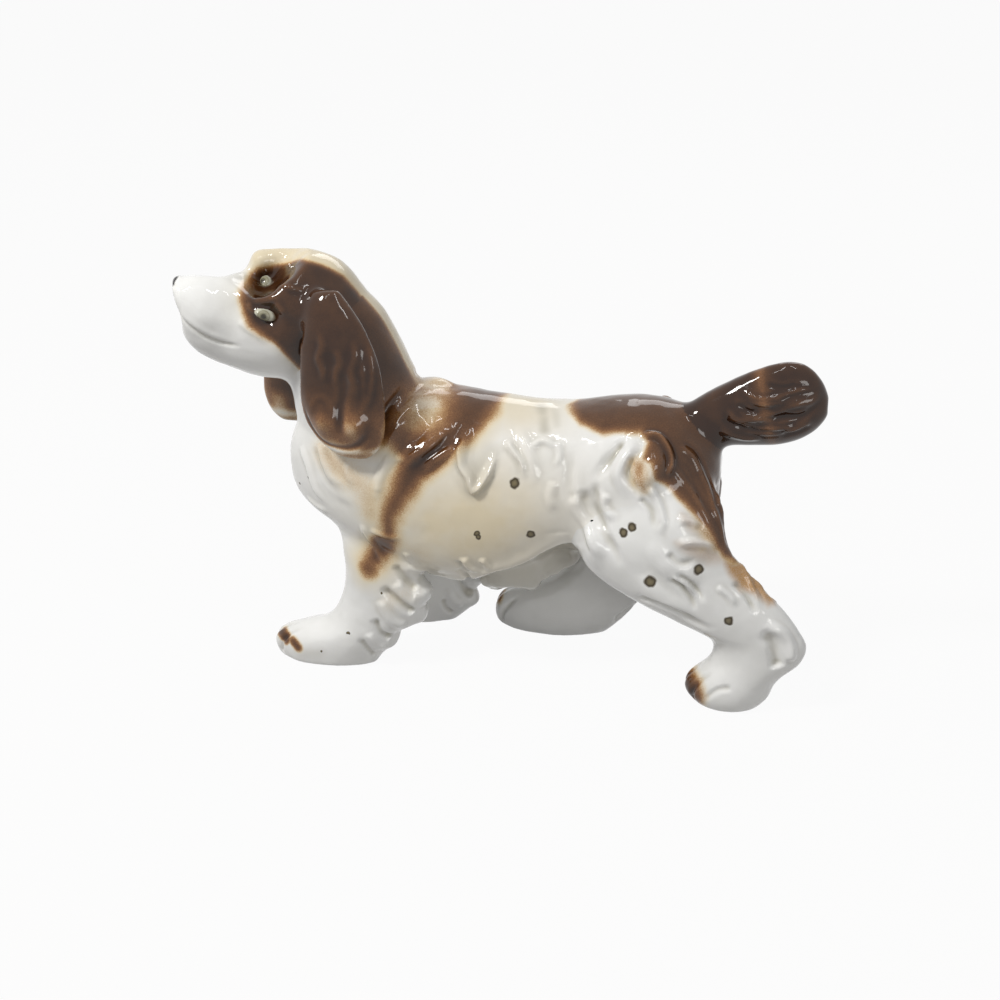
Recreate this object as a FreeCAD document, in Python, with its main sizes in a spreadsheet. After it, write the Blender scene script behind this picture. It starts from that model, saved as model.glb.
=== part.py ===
import FreeCAD, Part
import math
import os

# A standing long-eared spaniel in glazed pottery, in millimetres.
# It stands on z = 0 and looks along -X, with its head turned towards its own left, -Y.
# Each separately cast piece is one object, and the pieces meet face to face as they are stuck.

Vector = FreeCAD.Vector
doc = FreeCAD.newDocument("spaniel_figure")
sheet = doc.addObject("Spreadsheet::Sheet", "sizes")

sizes = {
    # body casting
    "torso_length": 152.5,
    "torso_front": -74.5,
    "torso_depth": 80.0,
    "torso_base": 25.2,
    "torso_half_width": 28.0,
    "vent_radius": 2.0,
    "vent_depth": 4.0,
    "cut_overrun": 6.0,
    # neck, part of the body casting, set behind the chest and rooted below the line of the back
    "neck_height": 60.0,
    "neck_root_depth": 27.2,
    "neck_set_back": 32.5,
    "neck_lean": 18.0,
    "neck_half_length": 30.0,
    "neck_half_width": 23.0,
    # head, in its own frame with the origin midway between the eyes, set from the top of the neck
    "head_reach": 22.0,
    "head_swing": 7.5,
    "head_sink": 3.0,
    "head_turn": 21.0,
    "head_lift": 12.0,
    "head_tilt": 5.0,
    "skull_length": 40.0,
    "muzzle_length": 30.5,
    "head_half_width": 19.5,
    "skull_rise": 17.5,
    "jaw_drop": 29.0,
    "eye_spacing": 30.5,
    "eye_length": 6.0,
    "eye_height": 4.2,
    "eye_bulge": 2.2,
    "nose_width": 7.5,
    "nose_height": 5.0,
    "nose_length": 5.0,
    "nose_lift": 0.2,
    "eye_forward": 1.0,
    # ears, set from the head's origin
    "ear_drop": 55.5,
    "ear_half_width": 14.5,
    "ear_half_thickness": 4.6,
    "ear_rise": 7.5,
    "ear_left_back": 26.0,
    "ear_left_out": 10.5,
    "ear_right_back": 14.5,
    "ear_right_out": 24.5,
    "ear_right_drop": 64.5,
    # legs: foretoes reach out from the chest, hind toes forward from the rump, tops end in the body
    "leg_half_width": 10.0,
    "foreleg_sink": 34.8,
    "hindleg_sink": 64.8,
    "foreleg_left_reach": 7.5,
    "foreleg_left_out": 18.0,
    "foreleg_right_reach": -14.5,
    "foreleg_right_out": 18.5,
    "fore_paw_length": 42.0,
    "hindleg_left_reach": 7.0,
    "hindleg_left_out": 21.0,
    "hindleg_right_reach": 84.0,
    "hindleg_right_out": 19.5,
    "stride_gap": 4.0,
    "hind_paw_length": 42.0,
    # tail, rooted inside the rump below the line of the back
    "tail_overlap": 18.0,
    "tail_length": 52.0,
    "tail_drop": 13.0,
    "tail_rise": 14.0,
    "tail_half_depth": 14.5,
    "tail_half_width": 8.0,
    # raised locks of the coat, pressed from the mould: how far they stand proud and reach in
    "lock_rise": 1.4,
    "lock_sink": 4.0,
    "lock_half_width": 6.5,
    "fringe_rise": 1.5,
    "fringe_sink": 5.0,
    "fringe_half_width": 9.0,
    "feather_rise": 1.2,
    "feather_sink": 7.0,
    "feather_half_width": 7.0,
    # floor block that trims the soles flat
    "trim_size": 400.0,
    "trim_height": 20.0,
}
for row, (name, value) in enumerate(sizes.items(), start=1):
    sheet.set(f"A{row}", name)
    sheet.set(f"B{row}", str(value))
    sheet.setAlias(f"B{row}", name)
doc.recompute()


def size(name):
    return float(sheet.get(name))


back_line = size("torso_base") + size("torso_depth")
rump = size("torso_front") + size("torso_length")
neck_root = size("torso_front") + size("neck_set_back")
neck_base = back_line - size("neck_root_depth")


def closed_rib(points):
    """One smooth closed rib through its points."""
    curve = Part.BSplineCurve()
    curve.interpolate(Points=points, PeriodicFlag=True)
    return Part.Wire([curve.toShape()])


def loft_feature(name, ribs):
    """A smooth solid through its ribs, as a document object."""
    feature = doc.addObject("Part::Feature", name)
    feature.Shape = Part.makeLoft([closed_rib(points) for points in ribs], True, False, False)
    return feature


def oval(centre, across, half_across, along, half_along, count=8):
    """Points of an oval about its centre, from two directions and two half sizes."""
    turns = [2 * math.pi * step / count for step in range(count)]
    return [centre + across * (half_across * math.cos(turn)) + along * (half_along * math.sin(turn))
            for turn in turns]


AXIS_X = Vector(1, 0, 0)
AXIS_Y = Vector(0, 1, 0)
AXIS_Z = Vector(0, 0, 1)

# Each rib: along, top, shoulder width, widest width, widest height, edge width, edge height, keel.
# Along is a share of the length, widths are shares of the half width, heights of the depth.
torso_rib_shares = [
    (0.000, 0.72, 0.22, 0.32, 0.60, 0.22, 0.52, 0.47),
    (0.020, 0.82, 0.38, 0.50, 0.62, 0.38, 0.47, 0.42),
    (0.066, 0.92, 0.48, 0.70, 0.64, 0.58, 0.43, 0.36),
    (0.146, 0.98, 0.58, 0.88, 0.65, 0.76, 0.37, 0.29),
    (0.265, 0.985, 0.62, 0.98, 0.63, 0.88, 0.29, 0.18),
    (0.390, 0.965, 0.62, 1.00, 0.60, 0.90, 0.24, 0.08),
    (0.497, 0.945, 0.60, 0.98, 0.59, 0.88, 0.24, 0.03),
    (0.583, 0.935, 0.58, 0.93, 0.59, 0.84, 0.31, 0.06),
    (0.656, 0.940, 0.57, 0.88, 0.61, 0.78, 0.40, 0.18),
    (0.735, 0.965, 0.58, 0.90, 0.65, 0.76, 0.44, 0.33),
    (0.840, 0.985, 0.56, 0.90, 0.68, 0.72, 0.47, 0.37),
    (0.925, 0.950, 0.44, 0.74, 0.69, 0.56, 0.50, 0.42),
    (0.980, 0.850, 0.30, 0.50, 0.68, 0.38, 0.55, 0.49),
    (1.000, 0.770, 0.18, 0.28, 0.67, 0.20, 0.60, 0.56),
]


# How far the shoulder point of a rib lies below its top, as a share of the way to its widest point.
shoulder_drop_share = 0.25


def torso_ribs():
    length, front = size("torso_length"), size("torso_front")
    depth, base = size("torso_depth"), size("torso_base")
    half = size("torso_half_width")
    ribs = []
    for along, top, shoulder, wide, wide_height, edge, edge_height, keel in torso_rib_shares:
        place = front + along * length
        shoulder_height = top - shoulder_drop_share * (top - wide_height)
        outline = [(shoulder, shoulder_height), (wide, wide_height), (edge, edge_height)]
        right = [Vector(place, width * half, base + height * depth) for width, height in outline]
        left = [Vector(point.x, -point.y, point.z) for point in reversed(right)]
        ridge = Vector(place, 0, base + top * depth)
        keel_point = Vector(place, 0, base + keel * depth)
        ribs.append([ridge] + right + [keel_point] + left)
    return ribs


# The vent hole that lets the air out in the kiln is in the keel of the rib at the loin.
vent_along_share, vent_keel_share = torso_rib_shares[9][0], torso_rib_shares[9][-1]

# Each rib of the neck: height, lean, half length, half width.
neck_rib_shares = [
    (0.00, 0.00, 1.00, 1.00),
    (0.25, 0.34, 0.86, 0.92),
    (0.50, 0.66, 0.76, 0.87),
    (0.75, 0.90, 0.67, 0.80),
    (0.92, 1.00, 0.50, 0.62),
    (1.00, 1.00, 0.30, 0.38),
]


def neck_ribs():
    ribs = []
    for height, lean, half_length, half_width in neck_rib_shares:
        centre = Vector(neck_root - lean * size("neck_lean"), 0,
                        neck_base + height * size("neck_height"))
        ribs.append(oval(centre, AXIS_X, half_length * size("neck_half_length"),
                         AXIS_Y, half_width * size("neck_half_width")))
    return ribs


# The head's origin, from the middle of the neck's top.
head_centre = Vector(neck_root - size("neck_lean") - size("head_reach"),
                     -size("head_swing"),
                     neck_base + size("neck_height") - size("head_sink"))

# Each rib of the head: along, half width, top, bottom.
# Along is a share of the skull length behind the eyes and of the muzzle length before them.
head_rib_shares = [
    (-1.00, 0.26, 0.02, -0.34),
    (-0.90, 0.58, 0.40, -0.62),
    (-0.70, 0.86, 0.84, -0.86),
    (-0.45, 0.98, 1.05, -0.96),
    (-0.20, 0.98, 1.05, -1.00),
    (0.00, 0.84, 0.92, -1.00),
    (0.15, 0.74, 0.66, -0.97),
    (0.32, 0.61, 0.32, -0.93),
    (0.60, 0.54, 0.22, -0.82),
    (0.78, 0.48, 0.19, -0.66),
    (0.90, 0.40, 0.14, -0.45),
    (0.97, 0.28, 0.10, -0.25),
    (1.00, 0.15, 0.05, -0.10),
]


def head_ribs():
    ribs = []
    for along, half_width, top, bottom in head_rib_shares:
        run = size("muzzle_length") if along > 0 else size("skull_length")
        high, low = top * size("skull_rise"), bottom * size("jaw_drop")
        centre = Vector(-along * run, 0, (high + low) / 2)
        ribs.append(oval(centre, AXIS_Y, half_width * size("head_half_width"),
                         AXIS_Z, (high - low) / 2))
    return ribs


# Each rib of an ear: down, back, outward, half width, half thickness.
ear_left_rib_shares = [
    (0.00, 0.00, 0.00, 0.34, 0.60),
    (0.15, 0.04, 0.06, 0.66, 0.95),
    (0.35, 0.10, 0.12, 0.90, 1.00),
    (0.57, 0.12, 0.15, 1.00, 1.00),
    (0.77, 0.14, 0.17, 0.97, 1.05),
    (0.91, 0.17, 0.18, 0.74, 0.95),
    (1.00, 0.19, 0.18, 0.34, 0.50),
]
ear_right_rib_shares = [
    (0.00, 0.00, 0.00, 0.34, 0.60),
    (0.15, -0.03, 0.03, 0.66, 0.95),
    (0.35, -0.09, 0.05, 0.90, 1.00),
    (0.57, -0.14, 0.05, 1.00, 1.00),
    (0.77, -0.19, 0.05, 0.97, 1.05),
    (0.91, -0.22, 0.04, 0.74, 0.95),
    (1.00, -0.23, 0.03, 0.34, 0.50),
]


def ear_ribs(side, shares, drop, outward):
    root = head_centre + Vector(size(f"{side}_back"), outward * size(f"{side}_out"), size("ear_rise"))
    ribs = []
    for down, back, out, half_width, half_thickness in shares:
        centre = root + Vector(back * drop, outward * out * drop, -down * drop)
        ribs.append(oval(centre, AXIS_X, half_width * size("ear_half_width"),
                         AXIS_Y, half_thickness * size("ear_half_thickness")))
    return ribs


# Each rib of a leg: height, front, rear, half width, outward drift of the middle.
# Height is a share of the leg's height, front and rear are shares of the paw length behind the toe.
foreleg_left_rib_shares = [
    (-0.04, 0.08, 0.94, 0.86, 0.00),
    (0.07, 0.00, 1.00, 1.00, 0.00),
    (0.15, 0.05, 1.10, 1.00, 0.00),
    (0.24, 0.38, 1.22, 0.92, 0.00),
    (0.33, 0.56, 1.32, 0.88, 0.00),
    (0.45, 0.64, 1.40, 0.88, 0.00),
    (0.60, 0.68, 1.38, 0.90, 0.00),
    (0.78, 0.64, 1.40, 0.84, -0.20),
    (1.00, 0.68, 1.34, 0.64, -0.60),
]
foreleg_right_rib_shares = [
    (-0.04, 0.06, 0.92, 0.86, 0.00),
    (0.07, 0.00, 1.04, 1.00, 0.00),
    (0.15, 0.04, 1.14, 1.00, 0.00),
    (0.24, 0.26, 1.18, 0.92, 0.00),
    (0.33, 0.42, 1.19, 0.88, 0.00),
    (0.45, 0.46, 1.18, 0.88, 0.00),
    (0.60, 0.44, 1.18, 0.90, 0.00),
    (0.78, 0.44, 1.16, 0.84, -0.20),
    (1.00, 0.52, 1.08, 0.64, -0.60),
]
hindleg_left_rib_shares = [
    (-0.03, 0.10, 0.60, 0.86, 0.00),
    (0.04, 0.01, 0.70, 1.02, 0.00),
    (0.09, 0.01, 0.74, 1.04, 0.00),
    (0.15, 0.12, 0.82, 0.94, 0.00),
    (0.21, 0.21, 0.94, 0.86, 0.00),
    (0.27, 0.20, 0.98, 0.84, 0.00),
    (0.33, -0.02, 0.93, 0.88, 0.00),
    (0.39, -0.32, 0.84, 0.96, 0.00),
    (0.47, -0.66, 0.68, 1.02, 0.00),
    (0.58, -0.92, 0.42, 1.06, 0.00),
    (0.70, -0.96, 0.27, 1.04, 0.00),
    (0.82, -0.84, 0.22, 0.90, -0.25),
    (0.92, -0.66, 0.12, 0.70, -0.70),
    (1.00, -0.50, 0.00, 0.44, -1.10),
]
hindleg_right_rib_shares = [
    (-0.03, 0.08, 0.96, 0.86, 0.00),
    (0.03, 0.01, 1.10, 1.02, 0.00),
    (0.08, 0.00, 1.20, 1.04, 0.00),
    (0.14, 0.08, 1.30, 0.96, 0.00),
    (0.20, 0.36, 1.36, 0.88, 0.00),
    (0.28, 0.64, 1.42, 0.88, 0.00),
    (0.38, 0.76, 1.56, 0.94, 0.00),
    (0.50, 0.82, 1.72, 1.04, 0.10),
    (0.60, 0.88, 1.84, 1.08, 0.15),
    (0.70, 0.94, 1.92, 1.04, 0.15),
    (0.82, 1.02, 1.94, 0.90, -0.10),
    (0.92, 1.18, 1.88, 0.70, -0.55),
    (1.00, 1.34, 1.78, 0.44, -0.95),
]


def leg_ribs(leg, shares, toe, lean, height, paw, outward):
    ribs = []
    for rise, front, rear, half_width, drift in shares:
        first = toe + front * paw + lean * rise
        last = toe + rear * paw + lean * rise
        out = size(f"{leg}_out") + drift * size("leg_half_width")
        centre = Vector((first + last) / 2, outward * out, rise * height)
        ribs.append(oval(centre, AXIS_X, (last - first) / 2,
                         AXIS_Y, half_width * size("leg_half_width")))
    return ribs


# Each rib of the tail: along, rise, half depth, half width.
tail_rib_shares = [
    (0.00, 0.00, 0.55, 0.80),
    (0.22, 0.36, 0.74, 0.98),
    (0.42, 0.70, 0.86, 1.00),
    (0.62, 0.92, 1.00, 0.96),
    (0.82, 1.04, 0.94, 0.84),
    (0.94, 1.04, 0.62, 0.60),
    (1.00, 1.00, 0.22, 0.26),
]


def tail_ribs():
    ribs = []
    for along, rise, half_depth, half_width in tail_rib_shares:
        centre = Vector(rump - size("tail_overlap") + along * size("tail_length"), 0,
                        back_line - size("tail_drop") + rise * size("tail_rise"))
        ribs.append(oval(centre, AXIS_Z, half_depth * size("tail_half_depth"),
                         AXIS_Y, half_width * size("tail_half_width")))
    return ribs


def cut(name, base, tool):
    feature = doc.addObject("Part::Cut", name)
    feature.Base = base
    feature.Tool = tool
    return feature


def fuse(name, shapes):
    feature = doc.addObject("Part::MultiFuse", name)
    feature.Shapes = shapes
    return feature


def skin_point(shape, point, way, reach):
    """Where a straight line through the point, towards `way`, leaves the shape."""
    line = Part.makeLine(point - way * reach, point + way * reach)
    ends = [vertex.Point for vertex in shape.common(line).Vertexes]
    return max(ends, key=lambda end: end.dot(way))


# Each rib of a lock: its place from root to tip, and the share of the lock's rise that it reaches.
lock_rib_shares = [(0.00, -0.30), (0.20, 0.70), (0.46, 1.00), (0.74, 0.72), (1.00, -0.30)]


def raised_lock(name, shape, start, end, bow, way, reach, half_width, rise, sink):
    """A curved lock of hair from start to end on the skin that faces `way`, as a document object.
    It bows sideways by a share of its length, and both its ends sink under the skin."""
    aside = way.cross(end - start)
    path = [start + (end - start) * share + aside * (4 * bow * share * (1 - share))
            for share, lift in lock_rib_shares]
    skin = [skin_point(shape, point, way, reach) for point in path]
    ribs = []
    for count, (share, lift) in enumerate(lock_rib_shares):
        ahead, behind = skin[min(count + 1, len(skin) - 1)], skin[max(count - 1, 0)]
        along = (ahead - behind).normalize()
        beside = skin_point(shape, path[count] + way.cross(along) * (half_width / 4), way, reach)
        across = (beside - skin[count]).normalize()
        outward = along.cross(across).normalize()
        ribs.append(oval(skin[count] + outward * (rise * lift - rise - sink), across, half_width,
                         outward, rise + sink))
    return loft_feature(name, ribs)


# Each lock on a flank: along and height at its root and tip, its bow, and its width.
# Along is a share of the length of the torso, heights are shares of its depth, widths of the usual lock.
flank_lock_shares = [
    (0.350, 0.925, 0.215, 0.750, -0.10, 1.20),
    (0.420, 0.890, 0.290, 0.670, 0.12, 0.80),
    (0.440, 0.900, 0.490, 0.600, 0.16, 0.90),
    (0.540, 0.890, 0.600, 0.660, -0.10, 0.60),
    (0.680, 0.800, 0.760, 0.420, 0.12, 0.80),
    (0.850, 0.930, 0.795, 0.610, -0.16, 0.90),
    (0.085, 0.800, 0.200, 0.520, 0.12, 0.80),
]
# Each lobe of the fringe under the keel: along, and its length as a share of the torso.
fringe_shares = [(0.395, 0.100), (0.480, 0.100), (0.570, 0.095), (0.650, 0.080)]

torso_form = loft_feature("torso_form", torso_ribs())
neck_form = loft_feature("neck_form", neck_ribs())


def torso_place(along, height, out):
    return Vector(size("torso_front") + along * size("torso_length"), out,
                  size("torso_base") + height * size("torso_depth"))


locks = []
for side_name, side in (("left", -1), ("right", 1)):
    for count, (along, height, end_along, end_height, bow, width) in enumerate(flank_lock_shares, start=1):
        locks.append(raised_lock(
            f"lock_{side_name}_{count}", torso_form.Shape,
            torso_place(along, height, 0), torso_place(end_along, end_height, 0), bow * side,
            AXIS_Y * side, size("torso_half_width") * 2, width * size("lock_half_width"),
            size("lock_rise"), size("lock_sink")))
for count, (along, length) in enumerate(fringe_shares, start=1):
    place = torso_place(along, 0, 0).x
    keel = min(wire.BoundBox.ZMin for wire in torso_form.Shape.slice(AXIS_X, place))
    lobe = doc.addObject("Part::Ellipsoid", f"fringe_{count}")
    lobe.setExpression("Radius1", "sizes.fringe_rise + sizes.fringe_sink")
    lobe.setExpression("Radius2", f"{length} * sizes.torso_length / 2")
    lobe.setExpression("Radius3", "sizes.fringe_half_width")
    lobe.Placement.Base = Vector(place, 0, keel + size("fringe_sink"))
    locks.append(lobe)
torso_solid = fuse("torso_solid", [torso_form, neck_form] + locks)
vent = doc.addObject("Part::Cylinder", "vent_form")
vent.setExpression("Radius", "sizes.vent_radius")
vent.setExpression("Height", "sizes.cut_overrun + sizes.vent_depth")
vent.setExpression("Placement.Base.x", f"sizes.torso_front + {vent_along_share} * sizes.torso_length")
vent.setExpression(
    "Placement.Base.z",
    f"sizes.torso_base + {vent_keel_share} * sizes.torso_depth - sizes.cut_overrun")
torso = cut("torso_cast", torso_solid, vent)

head_form = loft_feature("head_form", head_ribs())
head_pose = FreeCAD.Placement(
    head_centre,
    FreeCAD.Rotation(AXIS_Z, size("head_turn"))
    * FreeCAD.Rotation(AXIS_Y, size("head_lift"))
    * FreeCAD.Rotation(AXIS_X, size("head_tilt")))
eyes = []
for side_name, side in (("eye_left_form", -1), ("eye_right_form", 1)):
    eye = doc.addObject("Part::Ellipsoid", side_name)
    eye.setExpression("Radius1", "sizes.eye_height / 2")
    eye.setExpression("Radius2", "sizes.eye_length / 2")
    eye.setExpression("Radius3", "sizes.eye_bulge")
    eye.setExpression("Placement.Base.x", "-sizes.eye_forward")
    eye.setExpression("Placement.Base.y", f"{side} * sizes.eye_spacing / 2")
    eyes.append(eye)
nose = doc.addObject("Part::Ellipsoid", "nose_form")
nose.setExpression("Radius1", "sizes.nose_height / 2")
nose.setExpression("Radius2", "sizes.nose_length / 2")
nose.setExpression("Radius3", "sizes.nose_width / 2")
nose.setExpression("Placement.Base.x", "-(sizes.muzzle_length - sizes.nose_length / 2)")
nose.setExpression("Placement.Base.z", "sizes.nose_lift")
head_whole = fuse("head_whole", [head_form, nose] + eyes)
head_whole.Placement = head_pose
head = cut("head_cast", head_whole, torso)

ear_left_form = loft_feature("ear_left_form", ear_ribs(
    "ear_left", ear_left_rib_shares, size("ear_drop"), -1))
ear_right_form = loft_feature("ear_right_form", ear_ribs(
    "ear_right", ear_right_rib_shares, size("ear_right_drop"), 1))
skull_and_body = fuse("skull_and_body", [torso, head])
ear_left = cut("ear_left_cast", ear_left_form, skull_and_body)
ear_right = cut("ear_right_cast", ear_right_form, skull_and_body)

trim = doc.addObject("Part::Box", "floor_trim")
trim.setExpression("Length", "sizes.trim_size")
trim.setExpression("Width", "sizes.trim_size")
trim.setExpression("Height", "sizes.trim_height")
trim.setExpression("Placement.Base.x", "-sizes.trim_size / 2")
trim.setExpression("Placement.Base.y", "-sizes.trim_size / 2")
trim.setExpression("Placement.Base.z", "-sizes.trim_height")

# Each lock on the outer side of a hind leg: along and height at its root and tip, its bow and its width.
# Along is a share of the paw length behind the toe, heights are shares of the leg's height.
hindleg_left_lock_shares = [
    (-0.22, 0.880, 0.20, 0.650, 0.10, 1.00),
    (-0.34, 0.740, 0.14, 0.570, 0.12, 0.90),
    (-0.40, 0.600, 0.10, 0.440, 0.12, 0.90),
    (-0.72, 0.780, -0.70, 0.560, 0.16, 1.00),
]
hindleg_right_lock_shares = [
    (1.50, 0.880, 1.84, 0.660, 0.10, 1.00),
    (1.36, 0.740, 1.74, 0.580, 0.12, 0.90),
    (1.20, 0.600, 1.56, 0.450, 0.12, 0.90),
    (1.16, 0.780, 1.10, 0.560, 0.16, 1.00),
]
# Each lobe down the rear edge of a foreleg: its middle height and length, as shares of the leg's.
foreleg_lobe_shares = [(0.690, 0.340), (0.460, 0.320)]


def leg_locks(leg, lock_shares, lobe_shares, shape, toe, lean, height, paw, outward):
    """The raised locks on the outer side of one leg, and the feathering down its rear edge."""
    locks = []
    kind = leg.split("_")[0]
    out = outward * size(f"{leg}_out")
    for count, (along, rise, end_along, end_rise, bow, width) in enumerate(lock_shares, start=1):
        start = Vector(toe + along * paw + lean * rise, out, rise * height)
        end = Vector(toe + end_along * paw + lean * end_rise, out, end_rise * height)
        locks.append(raised_lock(
            f"{leg}_lock_{count}", shape, start, end, bow * outward, AXIS_Y * outward, paw * 2,
            width * size("lock_half_width"), size("lock_rise"), size("lock_sink")))
    for count, (rise, length) in enumerate(lobe_shares, start=1):
        edge = max(wire.BoundBox.XMax for wire in shape.slice(AXIS_Z, rise * height))
        lobe = doc.addObject("Part::Ellipsoid", f"{leg}_lobe_{count}")
        lobe.setExpression("Radius1", f"{length} * (sizes.torso_base + sizes.{kind}_sink) / 2")
        lobe.setExpression("Radius2", "sizes.feather_rise + sizes.feather_sink")
        lobe.setExpression("Radius3", "sizes.feather_half_width")
        lobe.Placement.Base = Vector(edge - size("feather_sink"), out, rise * height)
        locks.append(lobe)
    return locks


legs = {}
# The toes of the stride. The right hind toe stops short of the right foreleg, and its leg leans
# from there to the hip, whose place follows the rump.
fore_height = size("torso_base") + size("foreleg_sink")
hind_height = size("torso_base") + size("hindleg_sink")
fore_paw, hind_paw = size("fore_paw_length"), size("hind_paw_length")
toes = {
    "foreleg_left": size("torso_front") - size("foreleg_left_reach"),
    "foreleg_right": size("torso_front") - size("foreleg_right_reach"),
    "hindleg_left": rump - size("hindleg_left_reach"),
}
foreleg_right_rear_share = max(rear for rise, front, rear, half_width, drift in foreleg_right_rib_shares)
toes["hindleg_right"] = toes["foreleg_right"] + foreleg_right_rear_share * fore_paw + size("stride_gap")
hind_lean = rump - size("hindleg_right_reach") - toes["hindleg_right"]
for leg, shares, lock_shares, lobe_shares, lean, height, paw, outward in (
        ("foreleg_left", foreleg_left_rib_shares, [], foreleg_lobe_shares, 0, fore_height, fore_paw, -1),
        ("foreleg_right", foreleg_right_rib_shares, [], [], 0, fore_height, fore_paw, 1),
        ("hindleg_left", hindleg_left_rib_shares, hindleg_left_lock_shares, [],
         0, hind_height, hind_paw, -1),
        ("hindleg_right", hindleg_right_rib_shares, hindleg_right_lock_shares, [],
         hind_lean, hind_height, hind_paw, 1)):
    form = loft_feature(f"{leg}_form", leg_ribs(leg, shares, toes[leg], lean, height, paw, outward))
    coat = leg_locks(leg, lock_shares, lobe_shares, form.Shape, toes[leg], lean, height, paw, outward)
    coated = fuse(f"{leg}_coated", [form] + coat) if coat else form
    standing = cut(f"{leg}_standing", coated, trim)
    legs[leg] = cut(f"{leg}_cast", standing, torso)

tail_form = loft_feature("tail_form", tail_ribs())
tail = cut("tail_cast", tail_form, torso)

doc.recompute()

parts = {
    "torso": torso, "head": head, "ear_left": ear_left, "ear_right": ear_right,
    "tail": tail, **legs,
}
for name, feature in parts.items():
    feature.Label = name

for item in doc.Objects:
    if "Invalid" in item.State or "Error" in item.State:
        raise RuntimeError(f"{item.Label} did not rebuild: {item.State}")
os.makedirs("parts", exist_ok=True)
for name, feature in parts.items():
    shape = feature.Shape
    if shape.isNull() or not shape.isValid():
        raise RuntimeError(f"{name} is not a valid shape")
    print(f"{name}: solids {len(shape.Solids)}, volume {shape.Volume:.0f} mm3")
    shape.exportStep(f"parts/{name}.step")
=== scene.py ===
import itertools
import math
import bmesh
import bpy
import numpy as np
from mathutils import Matrix, Vector
from mathutils.bvhtree import BVHTree
from mathutils.kdtree import KDTree


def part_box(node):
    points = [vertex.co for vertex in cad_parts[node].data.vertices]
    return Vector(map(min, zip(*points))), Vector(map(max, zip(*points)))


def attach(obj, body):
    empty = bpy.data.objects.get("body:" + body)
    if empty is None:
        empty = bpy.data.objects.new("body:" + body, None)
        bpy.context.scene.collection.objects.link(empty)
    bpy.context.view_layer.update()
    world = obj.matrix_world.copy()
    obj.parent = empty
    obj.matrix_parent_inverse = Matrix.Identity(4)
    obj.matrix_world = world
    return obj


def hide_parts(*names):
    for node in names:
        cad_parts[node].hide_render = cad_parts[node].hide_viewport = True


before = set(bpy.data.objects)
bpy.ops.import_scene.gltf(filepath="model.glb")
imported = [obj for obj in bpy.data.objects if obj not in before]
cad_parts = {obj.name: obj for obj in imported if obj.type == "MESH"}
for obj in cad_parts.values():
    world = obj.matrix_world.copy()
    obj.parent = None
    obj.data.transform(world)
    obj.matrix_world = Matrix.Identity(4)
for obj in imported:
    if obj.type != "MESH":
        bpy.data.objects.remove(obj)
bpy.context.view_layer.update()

# Sculpting is done in millimetres, and the pieces are written in metres.
MM = 0.001
VOXEL = 0.56
# Rounds of smoothing: the slip joints, and the plaster mould's softening of raised locks.
JOINT_ROUNDS = 130
MOULD_ROUNDS = 14
# How far in millimetres from the next node a point is still in a joint, the heights between which an ear stops
# hanging free, and the rounds by which its free edge keeps the sponge away.
JOINT_REACH = (2.0, 9.0)
EAR_ROOT = (114, 128)
EAR_ROUNDS = 18
NEAR = -1.0
FAR = 1.0
WHITE_NODES = ["torso", "head", "foreleg_left", "foreleg_right", "hindleg_left", "hindleg_right"]
BROWN_NODES = ["ear_left", "ear_right", "tail"]
NODES = WHITE_NODES + BROWN_NODES
LEG_NODES = WHITE_NODES[2:]
random = np.random.default_rng(7)


# Small numeric helpers.
def smooth(low, high, value):
    t = np.clip((np.asarray(value, float) - low) / (high - low), 0.0, 1.0)
    return t * t * (3.0 - 2.0 * t)


def unit(v):
    v = np.asarray(v, float)
    return v / np.maximum(np.linalg.norm(v, axis=-1, keepdims=True), 1e-9)


def turn(axis, degrees):
    return np.array(Matrix.Rotation(math.radians(degrees), 3, axis))


def spline(points, step=0.45):
    """A Catmull-Rom curve through the points, as evenly spaced samples."""
    p = np.asarray(points, float)
    p = np.vstack([2 * p[0] - p[1], p, 2 * p[-1] - p[-2]])
    runs = []
    for a, b, c, d in zip(p[:-3], p[1:-2], p[2:-1], p[3:]):
        count = max(2, int(np.linalg.norm(c - b) / step) + 1)
        t = np.linspace(0, 1, count, endpoint=False)[:, None]
        runs.append(0.5 * (2 * b + (c - a) * t + (2 * a - 5 * b + 4 * c - d) * t ** 2
                           + (3 * b - a - 3 * c + d) * t ** 3))
    return np.vstack(runs + [p[-2:-1]])


# Smooth value noise in space: a lattice of seeded numbers, blended between its corners.
LATTICE = 32
lattice = random.random((LATTICE,) * 3)


def value_noise(points, size):
    """Noise from -1 to 1 whose lumps are about `size` millimetres across."""
    q = points / size + 101.7
    cell = np.floor(q).astype(int)
    f = q - cell
    f = f * f * (3 - 2 * f)
    total = np.zeros(len(points))
    for corner in itertools.product((0, 1), repeat=3):
        weight = np.where(corner, f, 1 - f)
        total += weight[:, 0] * weight[:, 1] * weight[:, 2] * lattice[tuple(((cell + corner) % LATTICE).T)]
    return 2 * total - 1


def layered_noise(points, size):
    return (value_noise(points, size) + 0.5 * value_noise(points + 31.3, size / 2.1)
            + 0.25 * value_noise(points + 57.9, size / 4.3)) / 1.75


def window(value, low, rise, fall, high):
    """1 between rise and fall, and 0 below low and above high."""
    return smooth(low, rise, value) * (1 - smooth(fall, high, value))


def blob(a, b, centre, radius):
    """A soft spot in a plane."""
    return np.exp(-(((a - centre[0]) / radius[0]) ** 2 + ((b - centre[1]) / radius[1]) ** 2))


def read(items, field, size, kind):
    """A field of size numbers from each item of a mesh."""
    values = np.empty(len(items) * size, kind)
    items.foreach_get(field, values)
    return values.reshape(-1, size)


def place(name, data):
    """A new object in the scene."""
    made = bpy.data.objects.new(name, data)
    bpy.context.scene.collection.objects.link(made)
    return made


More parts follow.
